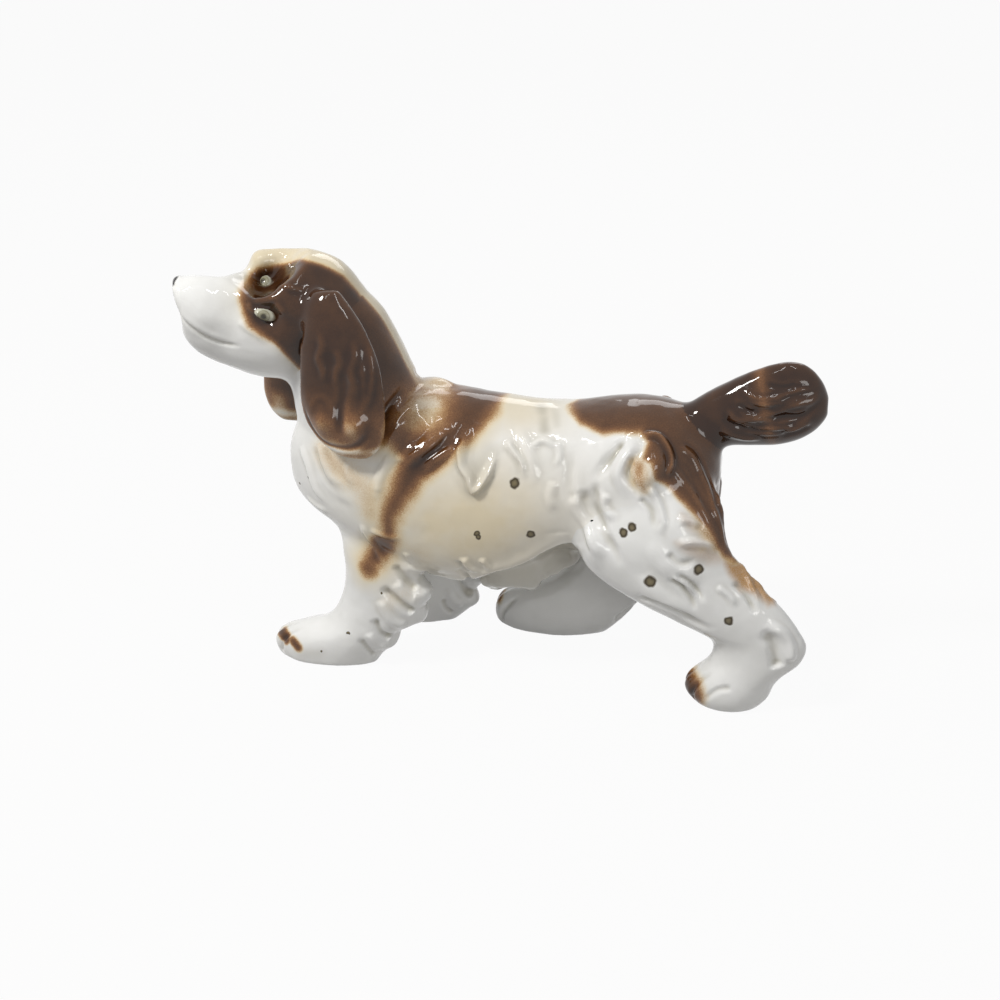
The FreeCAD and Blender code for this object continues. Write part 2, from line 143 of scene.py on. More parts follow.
def to_mesh(bm, name):
    mesh = bpy.data.meshes.new(name)
    bm.to_mesh(mesh)
    bm.free()
    return mesh


def feed(tree, socket, value):
    """Gives a socket a number, a colour, a vector or a link."""
    if isinstance(value, tuple):
        socket.default_value = (*value, 1) if len(socket.default_value) == 4 else value
    elif isinstance(value, (int, float)):
        socket.default_value = value
    else:
        tree.links.new(value, socket)


def add_node(tree, kind, *values, **settings):
    """A new shader node with its settings, and values or links fed to its first sockets."""
    made = tree.nodes.new(f"ShaderNode{kind}")
    for name, value in settings.items():
        setattr(made, name, value)
    for socket, value in zip(made.inputs, values):
        feed(tree, socket, value)
    return made


def in_metres(point):
    return tuple(float(v) * MM for v in point)


def node_box(name):
    """The low and high corners of a node in millimetres."""
    return [np.array(corner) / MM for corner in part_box(name)]


# The clay: one closed skin over all the cast pieces, which the strokes below model.
class Clay:
    def __init__(self, mesh):
        self.points = read(mesh.vertices, "co", 3, float) / MM
        self.quads = read(mesh.loops, "vertex_index", 1, int).reshape(-1, 4)
        self.keep_largest_skin()
        self.edges = np.unique(np.sort(self.sides(), axis=1), axis=0)
        self.degree = np.bincount(self.edges.ravel(), minlength=len(self.points)).astype(float)
        self.refresh()

    def sides(self):
        return np.vstack([self.quads[:, [i, (i + 1) % 4]] for i in range(4)])

    def keep_largest_skin(self):
        """Drops any closed pocket that the remesh left inside."""
        label = np.arange(len(self.points))
        sides = self.sides()
        while True:
            low = np.minimum(label[sides[:, 0]], label[sides[:, 1]])
            before = label.copy()
            np.minimum.at(label, sides[:, 0], low)
            np.minimum.at(label, sides[:, 1], low)
            label = label[label]
            if np.array_equal(before, label):
                break
        names, counts = np.unique(label, return_counts=True)
        kept = label == names[np.argmax(counts)]
        index = np.cumsum(kept) - 1
        self.quads = index[self.quads[kept[self.quads[:, 0]]]]
        self.points = self.points[kept]

    def refresh(self):
        corner = self.points[self.quads]
        facing = np.cross(corner[:, 2] - corner[:, 0], corner[:, 3] - corner[:, 1])
        total = np.zeros_like(self.points)
        for axis in range(3):
            total[:, axis] = np.bincount(self.quads.ravel(), np.repeat(facing[:, axis], 4), len(self.points))
        self.normals = unit(total)

    def spread(self, values):
        """The mean of each point's neighbours."""
        a, b = self.edges[:, 0], self.edges[:, 1]
        size = len(self.points)
        if values.ndim == 1:
            return (np.bincount(a, values[b], size) + np.bincount(b, values[a], size)) / self.degree
        return np.stack([self.spread(values[:, i]) for i in range(values.shape[1])], 1)

    def relax(self, weight, rounds, rate=0.5):
        for _ in range(rounds):
            self.points += rate * np.asarray(weight)[:, None] * (self.spread(self.points) - self.points)
        self.refresh()

    def even(self, rounds):
        """Takes out small ripples and keeps the volume."""
        for _ in range(rounds):
            for rate in (0.5, -0.52):
                self.points += rate * (self.spread(self.points) - self.points)
        self.refresh()

    def push(self, amount):
        self.points += self.normals * amount[:, None]
        self.refresh()


def join_nodes():
    bm = bmesh.new()
    for name in NODES:
        bm.from_mesh(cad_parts[name].data)
    return to_mesh(bm, "clay_blank")


def remesh(mesh, size):
    blank = place("clay_blank", mesh)
    modifier = blank.modifiers.new("skin", "REMESH")
    modifier.mode = "VOXEL"
    modifier.voxel_size = size * MM
    made = bpy.data.meshes.new_from_object(blank.evaluated_get(bpy.context.evaluated_depsgraph_get()))
    bpy.data.objects.remove(blank)
    return made


def find_owners(clay):
    """For each point, the node it lies on and how far it is from the next node."""
    reach = 14.0
    distance = np.full((len(clay.points), len(NODES)), reach)
    for column, name in enumerate(NODES):
        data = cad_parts[name].data
        corners = read(data.vertices, "co", 3, float) / MM
        data.calc_loop_triangles()
        triangles = read(data.loop_triangles, "vertices", 3, int)
        tree = BVHTree.FromPolygons(corners.tolist(), triangles.tolist())
        low, high = corners.min(0) - reach, corners.max(0) + reach
        inside = np.all((clay.points > low) & (clay.points < high), axis=1)
        for index in np.nonzero(inside)[0]:
            found = tree.find_nearest(Vector(clay.points[index]), reach)[3]
            if found is not None:
                distance[index, column] = found
    order = np.sort(distance, axis=1)
    return np.argmin(distance, axis=1), order[:, 1] - order[:, 0]


clay = Clay(remesh(join_nodes(), VOXEL))
owner, seam = find_owners(clay)
node_index = {name: i for i, name in enumerate(NODES)}


def on(*names):
    return np.isin(owner, [node_index[name] for name in names])


# The slip joints: every seam but the ears' hanging edges is wiped round with a wet sponge.
ear_free = on("ear_left", "ear_right") * (1 - smooth(*EAR_ROOT, clay.points[:, 2]))
near_ear = clay.spread(ear_free)
for _ in range(EAR_ROUNDS):
    near_ear = np.maximum(clay.spread(near_ear), ear_free)
joint = (1 - smooth(*JOINT_REACH, seam)) * (1 - smooth(0.02, 0.2, near_ear))
clay.relax(joint, JOINT_ROUNDS)
# The plaster mould gives the raised locks back softened.
clay.relax(np.where(on(*LEG_NODES, "torso"), 1.0, 0.15), MOULD_ROUNDS)
clay.even(3)

skin_tree = KDTree(len(clay.points))
for index, point in enumerate(clay.points):
    skin_tree.insert(point, index)
skin_tree.balance()


# Strokes of the modelling tool.
def round_ridge(s):
    return np.where(np.abs(s) < 1, (1 - s * s) ** 2, 0)


def lock_edge(s):
    """Steep at the stroke and running out on its left side, as an overlapping lock of hair does."""
    return smooth(-0.25, 0.12, s) * (1 - smooth(0.1, 1.0, s))


def nearest_index(point):
    return skin_tree.find(Vector(point))[1]


# Places along a stroke at which the skin's facing is read, and points handled at once.
FACINGS = 12
BATCH = 4000


def stroke(path, width, height, profile=round_ridge, start=0.15, end=0.35, floor=0.0, slim=0.0):
    """The push, at each point, of one stroke along the path. start and end are the shares over which it
    fades, floor is the height left at its ends, and slim how much of its width the ends lose."""
    line = spline(path)
    step = max(1, len(line) // FACINGS)
    facing = clay.normals[[nearest_index(p) for p in line[::step]]]
    facing = facing[np.minimum(np.arange(len(line)) // step, len(facing) - 1)]
    along = unit(np.gradient(line, axis=0))
    reach = width * 1.15
    near = np.nonzero(np.all((clay.points > line.min(0) - reach) & (clay.points < line.max(0) + reach), axis=1))[0]
    if not len(near):
        return near, np.zeros(0)
    p = clay.points[near]
    best = np.empty(len(near), int)
    for first in range(0, len(near), BATCH):
        part = p[first:first + BATCH]
        best[first:first + BATCH] = np.argmin(((part[:, None] - line[None]) ** 2).sum(2), axis=1)
    offset = p - line[best]
    away = np.linalg.norm(offset, axis=1)
    side = np.cross(facing[best], along[best])
    signed = np.where((offset * side).sum(1) < 0, -away, away)
    t = np.linspace(0, 1, len(line))[best]
    fade = smooth(0, start, t) * smooth(0, end, 1 - t)
    fade = floor + (1 - floor) * fade
    local = width * (1 - slim * (1 - fade))
    same_side = smooth(0.0, 0.35, (clay.normals[near] * facing[best]).sum(1))
    return near, height * fade * profile(signed / local) * same_side


FIRM = "firm"


class Layer:
    """Strokes of one stage, which all read the same skin and are pressed in together."""
    def __init__(self):
        self.amount = np.zeros(len(clay.points))

    def add(self, path, width, height, over=False, **how):
        """One stroke. With over it replaces a lower one, so that crossing strokes don't pile up."""
        near, value = stroke(path, width, height, **how)
        here = self.amount[near]
        self.amount[near] = np.where(over & (value > 0), np.maximum(here, value), here + value)

    def lay(self, rows, carrier, firm=None):
        """A table of strokes: outline, width, height and, where they differ, the other ways of the stroke. A row
        with a radius in place of the width is a lump, and a FIRM one isn't shifted by the carrier."""
        for outline, width, height, *how in rows:
            if isinstance(width, tuple):
                self.lump((firm if how else carrier)(outline)[0], width, height)
            else:
                self.add(carrier(outline), width, height, **(how[0] if how else {}))

    def lump(self, centre, radius, height, nodes=None):
        offset = (clay.points - np.asarray(centre)) / np.asarray(radius, float)
        value = height * np.exp(-1.4 * (offset ** 2).sum(1))
        if nodes is not None:
            value = value * on(*nodes)
        self.amount += value

    def head_lump(self, centre, radius, height):
        """A swelling or hollow placed in the head's own frame."""
        offset = (world_to_head(clay.points) - np.asarray(centre, float)) / np.asarray(radius, float)
        self.amount += height * np.exp(-1.2 * (offset ** 2).sum(1))

    def press(self, softness=0):
        amount = self.amount
        for _ in range(softness):
            amount = 0.5 * amount + 0.5 * clay.spread(amount)
        clay.push(amount)


def carry(outline, side, nodes=None):
    """Points (x, z) of the side view, carried onto the skin that faces that side."""
    facing = clay.normals[:, 1] * side > 0.05
    if nodes is not None:
        facing &= on(*nodes)
    index = np.nonzero(facing)[0]
    p = clay.points[index]
    found = []
    for x, z in outline:
        gap = (p[:, 0] - x) ** 2 + (p[:, 2] - z) ** 2
        close = np.nonzero(gap < 1.0)[0]
        if len(close):
            best = close[np.argmax(side * p[close, 1])]
        else:
            best = np.argmin(gap)
        found.append(p[best])
    return np.array(found)


def settle(points):
    """Points in space, moved onto the skin."""
    return np.array([clay.points[nearest_index(p)] for p in points])


# The head's own frame: its origin between the eyes, the muzzle towards -X.
HEAD_ORIGIN = np.array([-82.0, -7.5, 135.0])
HEAD_TURN = turn("Z", 21) @ turn("Y", 12) @ turn("X", 5)


def head_to_world(points):
    return HEAD_ORIGIN + np.asarray(points, float) @ HEAD_TURN.T


def world_to_head(points):
    return (np.asarray(points, float) - HEAD_ORIGIN) @ HEAD_TURN


# The camera stands where the photograph was taken from.
CAMERA_TURN = 11.0
CAMERA_RISE = 26.0
CAMERA_DISTANCE = 550.0
CAMERA_FOCUS = 1540.0
PICTURE = 1000.0
SENSOR = 36.0
AIM = np.array([0.0, 0.0, 72.7])
AIM_PIXEL = (500.0, 470.0)


def view_axes():
    """Right, up and towards the viewer, in the direction of the photograph."""
    turned, risen = math.radians(CAMERA_TURN), math.radians(CAMERA_RISE)
    back = np.array([math.sin(turned) * math.cos(risen), -math.cos(turned) * math.cos(risen), math.sin(risen)])
    right = unit(np.cross(-back, [0, 0, 1]))
    return right, np.cross(right, -back), back


def add_camera():
    right, up, back = view_axes()
    shift = ((AIM_PIXEL[0] - PICTURE / 2) / CAMERA_FOCUS, (PICTURE / 2 - AIM_PIXEL[1]) / CAMERA_FOCUS)
    eye = AIM - CAMERA_DISTANCE * (-back + shift[0] * right + shift[1] * up)
    data = bpy.data.cameras.new("camera")
    data.sensor_width = SENSOR
    data.lens = CAMERA_FOCUS * SENSOR / PICTURE
    data.clip_start = 0.01
    camera = place("camera", data)
    pose = Matrix(np.stack([right, up, back], 1).tolist()).to_4x4()
    pose.translation = Vector(eye * MM)
    camera.matrix_world = pose
    bpy.context.scene.camera = camera


# Name, place, size, power and tint of each lamp, in metres and watts.
LAMPS = [
    ("key", (-0.42, -0.34, 0.72), (0.14, 0.14), 4.6, (1, 0.985, 0.96)),
    ("fill", (0.55, -0.75, 0.35), (0.3, 0.3), 1.5, (1, 0.99, 0.97)),
    ("rear", (0.1, 0.75, 0.6), (0.5, 0.3), 1.2, (1, 1, 1)),
    ("tube_0", (-0.12, -0.28, 0.8), (0.02, 0.3), 0.35, (1, 1, 1)),
    ("tube_1", (0.16, -0.2, 0.8), (0.02, 0.3), 0.35, (1, 1, 1)),
]
LAMP_AIM = Vector((0, 0, 0.07))
# The world's share for what isn't seen as plain white, and the floor's own paper, brightness and share of glow.
WORLD_LEVEL = 0.27
FLOOR_PAPER = (0.36, 0.355, 0.35)
FLOOR_LIGHT = 1.02
FLOOR_GLOW = 0.93


def add_light():
    for name, spot, size, power, tint in LAMPS:
        data = bpy.data.lights.new(name, "AREA")
        data.shape = "RECTANGLE"
        data.size, data.size_y = size
        data.energy = power
        data.color = tint
        lamp = place(name, data)
        lamp.location = spot
        lamp.rotation_euler = (LAMP_AIM - Vector(spot)).to_track_quat("-Z", "Y").to_euler()
    world = bpy.data.worlds.new("studio")
    bpy.context.scene.world = world
    world.use_nodes = True
    tree = world.node_tree
    background = tree.nodes["Background"]
    background.inputs["Color"].default_value = (1, 1, 1, 1)
    strength = add_node(tree, "MapRange", seen_white(tree))
    strength.inputs["To Min"].default_value = WORLD_LEVEL
    strength.inputs["To Max"].default_value = 1.0
    tree.links.new(strength.outputs["Result"], background.inputs["Strength"])


def seen_white(tree):
    """1 for rays from the camera, a gloss or through glass, which see the backdrop as plain white."""
    path = add_node(tree, "LightPath")
    total = path.outputs["Is Camera Ray"]
    for kind in ("Is Glossy Ray", "Is Transmission Ray"):
        total = add_node(tree, "Math", total, path.outputs[kind], operation="MAXIMUM").outputs[0]
    return total


def add_floor():
    bm = bmesh.new()
    bmesh.ops.create_circle(bm, cap_ends=True, radius=4.0, segments=64)
    mesh = to_mesh(bm, "floor")
    floor = place("floor", mesh)
    material = bpy.data.materials.new("floor")
    material.use_nodes = True
    tree = material.node_tree
    tree.nodes.clear()
    paper = add_node(tree, "BsdfDiffuse", FLOOR_PAPER)
    glow = add_node(tree, "Emission", (1.0, 1.0, 1.0), FLOOR_LIGHT)
    share = add_node(tree, "Math", seen_white(tree), FLOOR_GLOW, operation="MULTIPLY")
    mix = add_node(tree, "MixShader", share.outputs[0], paper.outputs[0], glow.outputs[0])
    tree.links.new(mix.outputs[0], add_node(tree, "OutputMaterial").inputs["Surface"])
    mesh.materials.append(material)


add_camera()
add_light()
add_floor()
bpy.context.scene.view_settings.view_transform = "Standard"


# Carriers of strokes onto the skin.
def mirrored(points, side):
    """Head-frame points given for the dog's left, for either side."""
    p = np.asarray(points, float)
    return p if side == NEAR else p * np.array([1, -1, 1])


def on_head(points, side=NEAR):
    path = settle(head_to_world(mirrored(points, side)))
    return path if side == NEAR else path[::-1]


def on_side(outline, side, nodes=None, shift=0.0):
    """A stroke's path in the side view. On the far side it runs the other way, so that it keeps its raised side."""
    moved = [(x + shift * random.normal(), z + shift * random.normal()) for x, z in outline]
    path = carry(moved, side, nodes)
    return path if side == NEAR else path[::-1]


def share_path(node, side, nodes):
    """A carrier of shares of a node's length and height."""
    low, high = node_box(node)
    span, drop = high[0] - low[0], high[2] - low[2]
    return lambda shares: on_side([(low[0] + u * span, low[2] + v * drop) for u, v in shares], side, nodes)


# Broad forms first: soft swellings and hollows of each flank, as middle, radius and height.
BODY_LUMPS = [
    # The flank swells over the ribs and is drawn in at the loin.
    ((8, 26, 66), (26, 14, 24), 0.8), ((31, 24, 76), (8, 12, 22), -0.9),
    # Shoulder blade, upper arm, haunch and thigh.
    ((-40, 25, 78), (14, 12, 16), 0.9), ((-22, 26, 62), (7, 10, 18), -0.7),
    ((58, 26, 80), (16, 12, 16), 0.8), ((62, 30, 58), (16, 10, 14), 0.6),
]
# The chest bib hangs a little proud of the neck.
BIB = ((-72, 0, 78), (10, 18, 14), 0.9)
# The lip of the flank in the side view, and the fringe's lobes and gaps: along, height, half length, half width
# and push.
LIP = np.array([(-26, 36), (-18, 38), (-11, 38.5), (-5, 40.5), (3, 45.5), (9, 47.5), (14, 50), (20, 54), (26, 57),
                (34, 58)])
KEEL_LEVEL = 27.0
FRINGE = [(-14, 28, 5.5, 9, 1.7), (-1, 26, 5.5, 9, 1.7), (11.5, 28, 5, 9, 1.7), (22, 35, 4, 9, 1.7),
          (-7.5, 28, 2.4, 10, -2.2), (5.5, 28, 2.4, 10, -2.2), (17, 32, 2.4, 10, -2.2)]


def broad_forms():
    layer = Layer()
    for side in (NEAR, FAR):
        for (x, y, z), radius, height in BODY_LUMPS:
            layer.lump((x, side * y, z), radius, height)
    layer.lump(*BIB)
    layer.press()

    # The belly: the skin is drawn in under a sharp lip along each flank, and the fringe of the keel hangs below.
    x, y, z = clay.points[:, 0], clay.points[:, 1], clay.points[:, 2]
    own = on("torso") & (z < 62) & (x > -30) & (x < 34)
    level = (z - KEEL_LEVEL) / (np.interp(x, LIP[:, 0], LIP[:, 1]) - KEEL_LEVEL)
    drawn = window(level, 0.15, 0.45, 0.92, 1.01) * own * window(x, -27, -18, 24, 32) * smooth(3, 9, np.abs(y))
    raised = np.exp(-((level - 1.06) / 0.13) ** 2) * own * window(x, -27, -20, 22, 32)
    for amount in (-2.4 * drawn, -2.4 * drawn, -1.6 * drawn + 0.8 * raised):
        clay.push(amount)
        clay.relax(own * smooth(0.0, 0.3, drawn), 2)
    layer = Layer()
    for x, z, long, wide, height in FRINGE:
        layer.lump((x, 0, z), (long, wide, 7), height, ["torso"])
    layer.press(2)


# The line of the nose and the stop, in the head's frame: along and height.
BRIDGE = np.array([(-16, 4.2), (-10, 3.8), (-5, 2.8), (0, 1.8), (3, 3.2), (6, 8.0), (10, 15.0), (15, 18.5)])
# Swellings and hollows in the head's frame: middle, radius and height.
FACE_LUMPS = [
    # Under the chin, and the furrow of the forehead.
    ((-30, 0, -11), (5, 9, 7), -3.2), ((12, 0, 16), (7, 2.2, 4), -0.5),
    # The far brow stands forward over its eye, and the forehead rises steeply above it.
    ((-1.8, 10.5, 9.0), (5.5, 5.5, 4.5), 3.6), ((-8, 6, 5), (6, 5, 4), 1.4),
    ((1.5, 7.0, 2.0), (5, 4.5, 4), -2.4), ((5, 8, 13), (7, 7, 5), 0.9),
]
SOCKET = ((1, 16, -0.5), (6, 5, 4.4))
SOCKET_DEPTH = {NEAR: -3.4, FAR: -0.6}
# The same on both sides.
SIDE_LUMPS = [
    # Brow and temple.
    ((7, 12, 8.5), (4.5, 4.5, 3.5), 1.6), ((9, 16.5, 4), (4.2, 5, 3.2), 1.1), ((9, 14, 9.5), (7, 5, 1.6), -0.7),
    # Flews swell beside the mouth, and the cheek is hollow above them.
    ((-18, 9, -7), (8, 5, 5), 0.9), ((-8, 12, 0), (5, 5, 4), -0.8),
]
FACE_STROKES = [
    # Brow, the fold behind the eye, the inner corner, temple and flew.
    ([(-5, -12, 3), (-1, -14, 4.5), (2, -15, 6), (5, -16.5, 6.5)], 2.0, 0.9, dict(start=0.3, end=0.3)),
    ([(3, -16, 5), (5, -17, 3.5), (7, -18, 1.5)], 1.5, 0.7),
    ([(-6, -12, 2), (-5, -14, 0), (-3, -15.5, -2)], 1.6, 0.8),
    ([(5, -12.5, 11.5), (8, -14, 10), (11, -15, 10.5), (12.5, -14.5, 12)], 1.5, 0.7),
    ([(-8, -12.5, -5), (-5, -14.5, -6.5), (-1, -16, -7.5), (3, -17, -10)], 1.8, 0.6),
    # The mouth: a cut from under the nose along the flews to the corner, and the lip above it.
    ([(-29, -2.5, -4.5), (-26, -6, -8), (-21, -8.5, -11.5), (-15, -9.5, -14), (-9, -10.5, -14.5), (-4, -12, -13)],
     1.1, -0.9, dict(start=0.05, end=0.2)),
    ([(-27, -6.5, -6.5), (-21, -9.5, -10), (-15, -10.5, -12.5), (-9, -11.5, -13)], 1.8, 0.45),
    # Nostril.
    ([(-30.2, -1.8, 0.6), (-29.6, -3.2, 0.2), (-28.6, -3.8, 1.2)], 0.9, -0.7, dict(start=0.1, end=0.4)),
]
# The groove down the nose and the upper lip.
NOSE_GROOVE = [(-30.4, 0, 1.2), (-30.2, 0, -1.5), (-29, 0, -5)]
STOP_ROUNDS = 4


def face_forms():
    # The stop is a deep trough between the brows.
    own = on("head")
    for _ in range(STOP_ROUNDS):
        head = world_to_head(clay.points)
        bridge = np.interp(head[:, 0], BRIDGE[:, 0], BRIDGE[:, 1])
        wide = np.where(head[:, 1] < 0, np.abs(head[:, 1]) / 1.3, np.abs(head[:, 1]) * 1.15)
        share = (1 - smooth(5.5, 12.0, wide)) * window(head[:, 0], -15, -8, 8, 14)
        head[:, 2] -= 0.5 * share * np.clip(head[:, 2] - bridge, 0, None) * own * (clay.normals[:, 2] > -0.2)
        clay.points = np.where(own[:, None], head_to_world(head), clay.points)
        clay.refresh()
    between = (1 - smooth(9, 17, np.abs(head[:, 1]))) * window(head[:, 0], -16, -9, 6, 14)
    clay.relax(own * between * (clay.normals[:, 2] > -0.3), 36)

    layer = Layer()
    for lump in FACE_LUMPS:
        layer.head_lump(*lump)
    for side in (NEAR, FAR):
        for (x, y, z), radius, height in [(*SOCKET, SOCKET_DEPTH[side])] + SIDE_LUMPS:
            layer.head_lump((x, side * y, z), radius, height)
    layer.press()

    layer = Layer()
    for side in (NEAR, FAR):
        layer.lay(FACE_STROKES, lambda points: on_head(points, side))
    layer.add(on_head(NOSE_GROOVE), 0.9, -0.5, start=0.1, end=0.1)
    layer.press(1)


def comb(layer, first, last, count, width, depth, carrier, lively=0.5, **how):
    """Strands between two guides: crests with a groove beside each."""
    first, last = np.asarray(first, float), np.asarray(last, float)
    for i in range(count):
        share = (i + 0.5 + lively * 0.3 * random.normal()) / count
        guide = first + (last - first) * share
        guide = guide + lively * 0.35 * random.normal(size=guide.shape)
        strength = 1 + lively * 0.5 * random.normal()
        path = carrier(guide)
        layer.add(path, width, depth * strength, **how)
        beside = carrier(guide + (last - first) * (0.5 / count))
        layer.add(beside, width * 0.7, -0.8 * depth * strength, **how)


# Strokes of the coat in the side view: outline, width, height and other ways, as Layer.lay reads them.
BODY_STROKES = [
    # Neck and shoulder: a broad roll from the ear, the zigzag crest and two raised locks.
    ([(-38, 88), (-34, 95), (-28, 101), (-20, 104)], 6.5, 1.5),
    ([(-38, 96), (-35, 101), (-31, 106)], 2.2, -1.0),
    ([(-38, 74), (-36, 80), (-34, 85), (-32, 88)], 2.6, 0.9, dict(over=True, floor=0.3)),
    ([(-32, 88), (-29, 87), (-27, 89), (-25, 91), (-22, 92)], 2.2, 0.8, dict(over=True, floor=0.3)),
    ([(-29, 83), (-24, 88), (-19, 91), (-14, 96.5)], 4.2, 1.3, dict(over=True, start=0.3, end=0.5, slim=0.6)),
    ([(-23, 82), (-17, 87), (-11, 91.5)], 2.8, 1.1, dict(over=True, start=0.3, end=0.2)),
    ([(-11, 91.5), (-11.5, 88), (-13, 84)], 1.8, 0.7, dict(over=True, start=0.05, end=0.5)),
    # The tongue of hair behind the shoulder, and its inner fold.
    ([(-9, 95), (-10.5, 90), (-9.5, 85.5), (-7, 81.5), (-3.5, 77), (0, 79.5), (2.5, 84),
      (4, 91)], 3.6, 2.0, dict(profile=lock_edge, start=0.15, end=0.25)),
    ([(-3.5, 84)], (4.5, 5, 6), 0.5),
    # Crests and creases along the ribs and the loin.
    ([(6, 93), (9, 90), (11.5, 87), (13.5, 82)], 1.9, 1.55),
    ([(15, 92), (18, 93.5), (21, 93), (23, 91)], 1.7, 1.08),
    ([(23, 94), (24, 90), (24.5, 86)], 1.8, 0.93),
    ([(28, 94), (28, 86), (29, 79), (33, 70), (38, 62)], 3.2, -1.4, dict(start=0.4, end=0.4)),
    ([(33, 81), (36, 73), (41, 67), (45, 60), (47, 53)], 3.2, -2.02),
    ([(29, 78), (32, 70), (37, 62), (40, 55)], 3.0, 1.71),
    ([(38, 84), (36.5, 79), (38, 73.5), (41.5, 69.5), (45, 69)], 2.4, -1.55, dict(start=0.3, end=0.3)),
    ([(41, 80), (40, 76), (42, 73), (46, 72)], 2.4, 1.24),
    ([(24, 82), (23, 76), (25, 71)], 2.6, 0.78),
    ([(-7, 51), (-5, 47), (-2, 43)], 2.0, 1.24),
    ([(-1, 51), (0.5, 48), (2, 45)], 1.8, 1.08),
    ([(-10, 49), (-9, 45), (-6, 41)], 1.8, -0.93),
    # Haunch: a long lock, the dark hollow before it, a round curl and a small one.
    ([(47, 97), (43, 93), (39, 88), (36, 82)], 3.0, -1.86, dict(start=0.2, end=0.5)),
    ([(51, 97), (47, 92), (45, 87), (47, 82), (50, 79)], 3.2, 2.02, dict(over=True, start=0.2, end=0.5)),
    ([(49, 93), (48, 88), (50, 83), (53, 79.5)], 1.6, -1.08),
    ([(58, 91)], (5.5, 5, 5.5), 1.5, FIRM),
    ([(51, 98), (56, 98.5), (60.5, 95.5), (62.5, 91), (61, 85.5)], 1.9, 2.02, dict(over=True, start=0.2, end=0.2)),
    ([(53.5, 86.5)], (3.2, 4, 3.6), 1.0, FIRM),
    ([(56, 84), (59, 79), (61, 73), (60, 68)], 1.8, 1.24),
    ([(53, 80), (57, 76), (58, 70)], 1.6, -0.93),
    # Thigh.
    ([(66, 74), (71, 73), (74, 70)], 2.2, 1.24),
    ([(66, 66), (71, 67), (77, 65), (80, 61)], 2.2, 1.4),
    ([(64, 63), (69, 59), (74, 60)], 2.0, -0.93),
    ([(67, 54), (71, 52), (75, 48.5), (77, 44)], 1.7, -1.4),
    ([(64, 52), (69, 49), (73, 45), (74.5, 40)], 1.7, -1.24),
    ([(66, 53.5), (70, 50.5), (74, 46.5)], 1.6, 1.08),
    ([(52, 42), (60, 41), (68, 38), (76, 34), (82, 33)], 2.4, -1.4),
    ([(86, 51), (90, 48), (93, 44), (95, 40)], 1.6, -1.24),
    ([(81, 50), (85, 47), (88, 43)], 1.6, 0.93),
    # Chest, under the ear, and the crease of the bib.
    ([(-60, 88), (-58, 82), (-54, 77), (-48, 74)], 2.6, 1.0),
    ([(-63, 86), (-61, 79), (-57, 73), (-50, 69)], 2.6, -0.8),
    ([(-50, 84), (-49, 79), (-46, 75)], 2.0, 0.6),
    ([(-70, 84), (-67, 78), (-65, 73), (-63, 68), (-58, 62)], 3.6, 1.0, dict(profile=lock_edge)),
    ([(-68, 63), (-64, 61), (-58, 60)], 2.6, 0.8, dict(profile=lock_edge)),
]
BODY_NODES = ["torso"] + LEG_NODES
# Strands of the far side lie a little differently.
LOOSE = {NEAR: 0.0, FAR: 1.1}


def body_hair():
    for side in (NEAR, FAR):
        def path(outline):
            return on_side(outline, side, BODY_NODES, LOOSE[side])

        layer = Layer()
        layer.lay(BODY_STROKES, path, lambda outline: carry(outline, side, BODY_NODES))
        layer.press()

        # The fine strands that lie on those forms.
        layer = Layer()
        comb(layer, [(-29, 84), (-25, 86.5), (-19, 89), (-14, 93.5)], [(-28, 88), (-23, 91.5), (-18, 94), (-13.5, 97)],
             3, 1.0, 0.40, path, start=0.15, end=0.3)
        comb(layer, [(-22, 81.5), (-17, 85), (-12, 89)], [(-23, 85), (-18, 89), (-11.5, 93)], 2, 1.0, 0.30, path)
        comb(layer, [(63, 88), (66, 82), (71, 76), (76, 71), (80, 64), (82, 60)],
             [(65, 96), (70, 91), (75, 84), (79, 76), (82, 68), (84, 60)], 3, 1.7, 0.6, path,
             lively=0.9, start=0.1, end=0.2)
        comb(layer, [(84, 59), (88, 53), (92, 47), (94, 42)], [(87, 60), (95, 53), (102, 46), (106, 39)],
             5, 1.2, 0.6, path, start=0.1, end=0.35)
        layer.press()


FORE_STROKES = [
    # The feathering behind the foreleg: lobes that part along slanting grooves.
    ([(-33, 45), (-29, 39), (-25, 34)], 2.2, -1.5, dict(end=0.1)),
    ([(-37, 36), (-31, 29), (-26, 24)], 2.4, -1.7, dict(end=0.1)),
    ([(-41, 23), (-38, 16), (-35, 12)], 2.2, -1.5, dict(end=0.1)),
    ([(-46, 13), (-44, 8), (-42, 3)], 1.8, -1.1, dict(end=0.1)),
    ([(-32, 38), (-28, 31), (-25, 29)], 3.0, 0.9, dict(end=0.1)),
    ([(-38, 30), (-34, 22), (-30, 18)], 3.0, 1.2, dict(end=0.1)),
    ([(-43, 16), (-40, 10), (-38, 8)], 2.4, 0.9, dict(end=0.1)),
]
# Folds of the upper arm, on the outer face alone.
ARM_STROKES = [
    ([(-45, 60), (-42, 53), (-38, 47), (-35, 42)], 2.0, 0.9),
    ([(-42, 58), (-36, 56.5), (-29, 56)], 1.7, 0.7),
    ([(-29, 50), (-27, 45), (-24, 41)], 1.8, 0.7),
]
# Heights up the rear edge of a foreleg, and how far its feathering stands out or is cut in there.
FEATHER_STEPS = [(43, 1.3), (37.5, -1.6), (31.5, 1.5), (25.5, -1.8), (19.5, 1.4), (13.5, -1.7), (8.5, 1.0)]
# The part of a paw that the toes take up, and their grooves as shares of its half width.
TOE_HEIGHT = 6
TOE_LENGTH = 24
TOE_GROOVES = (-0.46, 0.0, 0.46)
# Where the left foreleg's toe and the left hind leg's heel are, to which the outlines were drawn.
FORE_TOE = -82.0
HIND_HEEL = 112.4


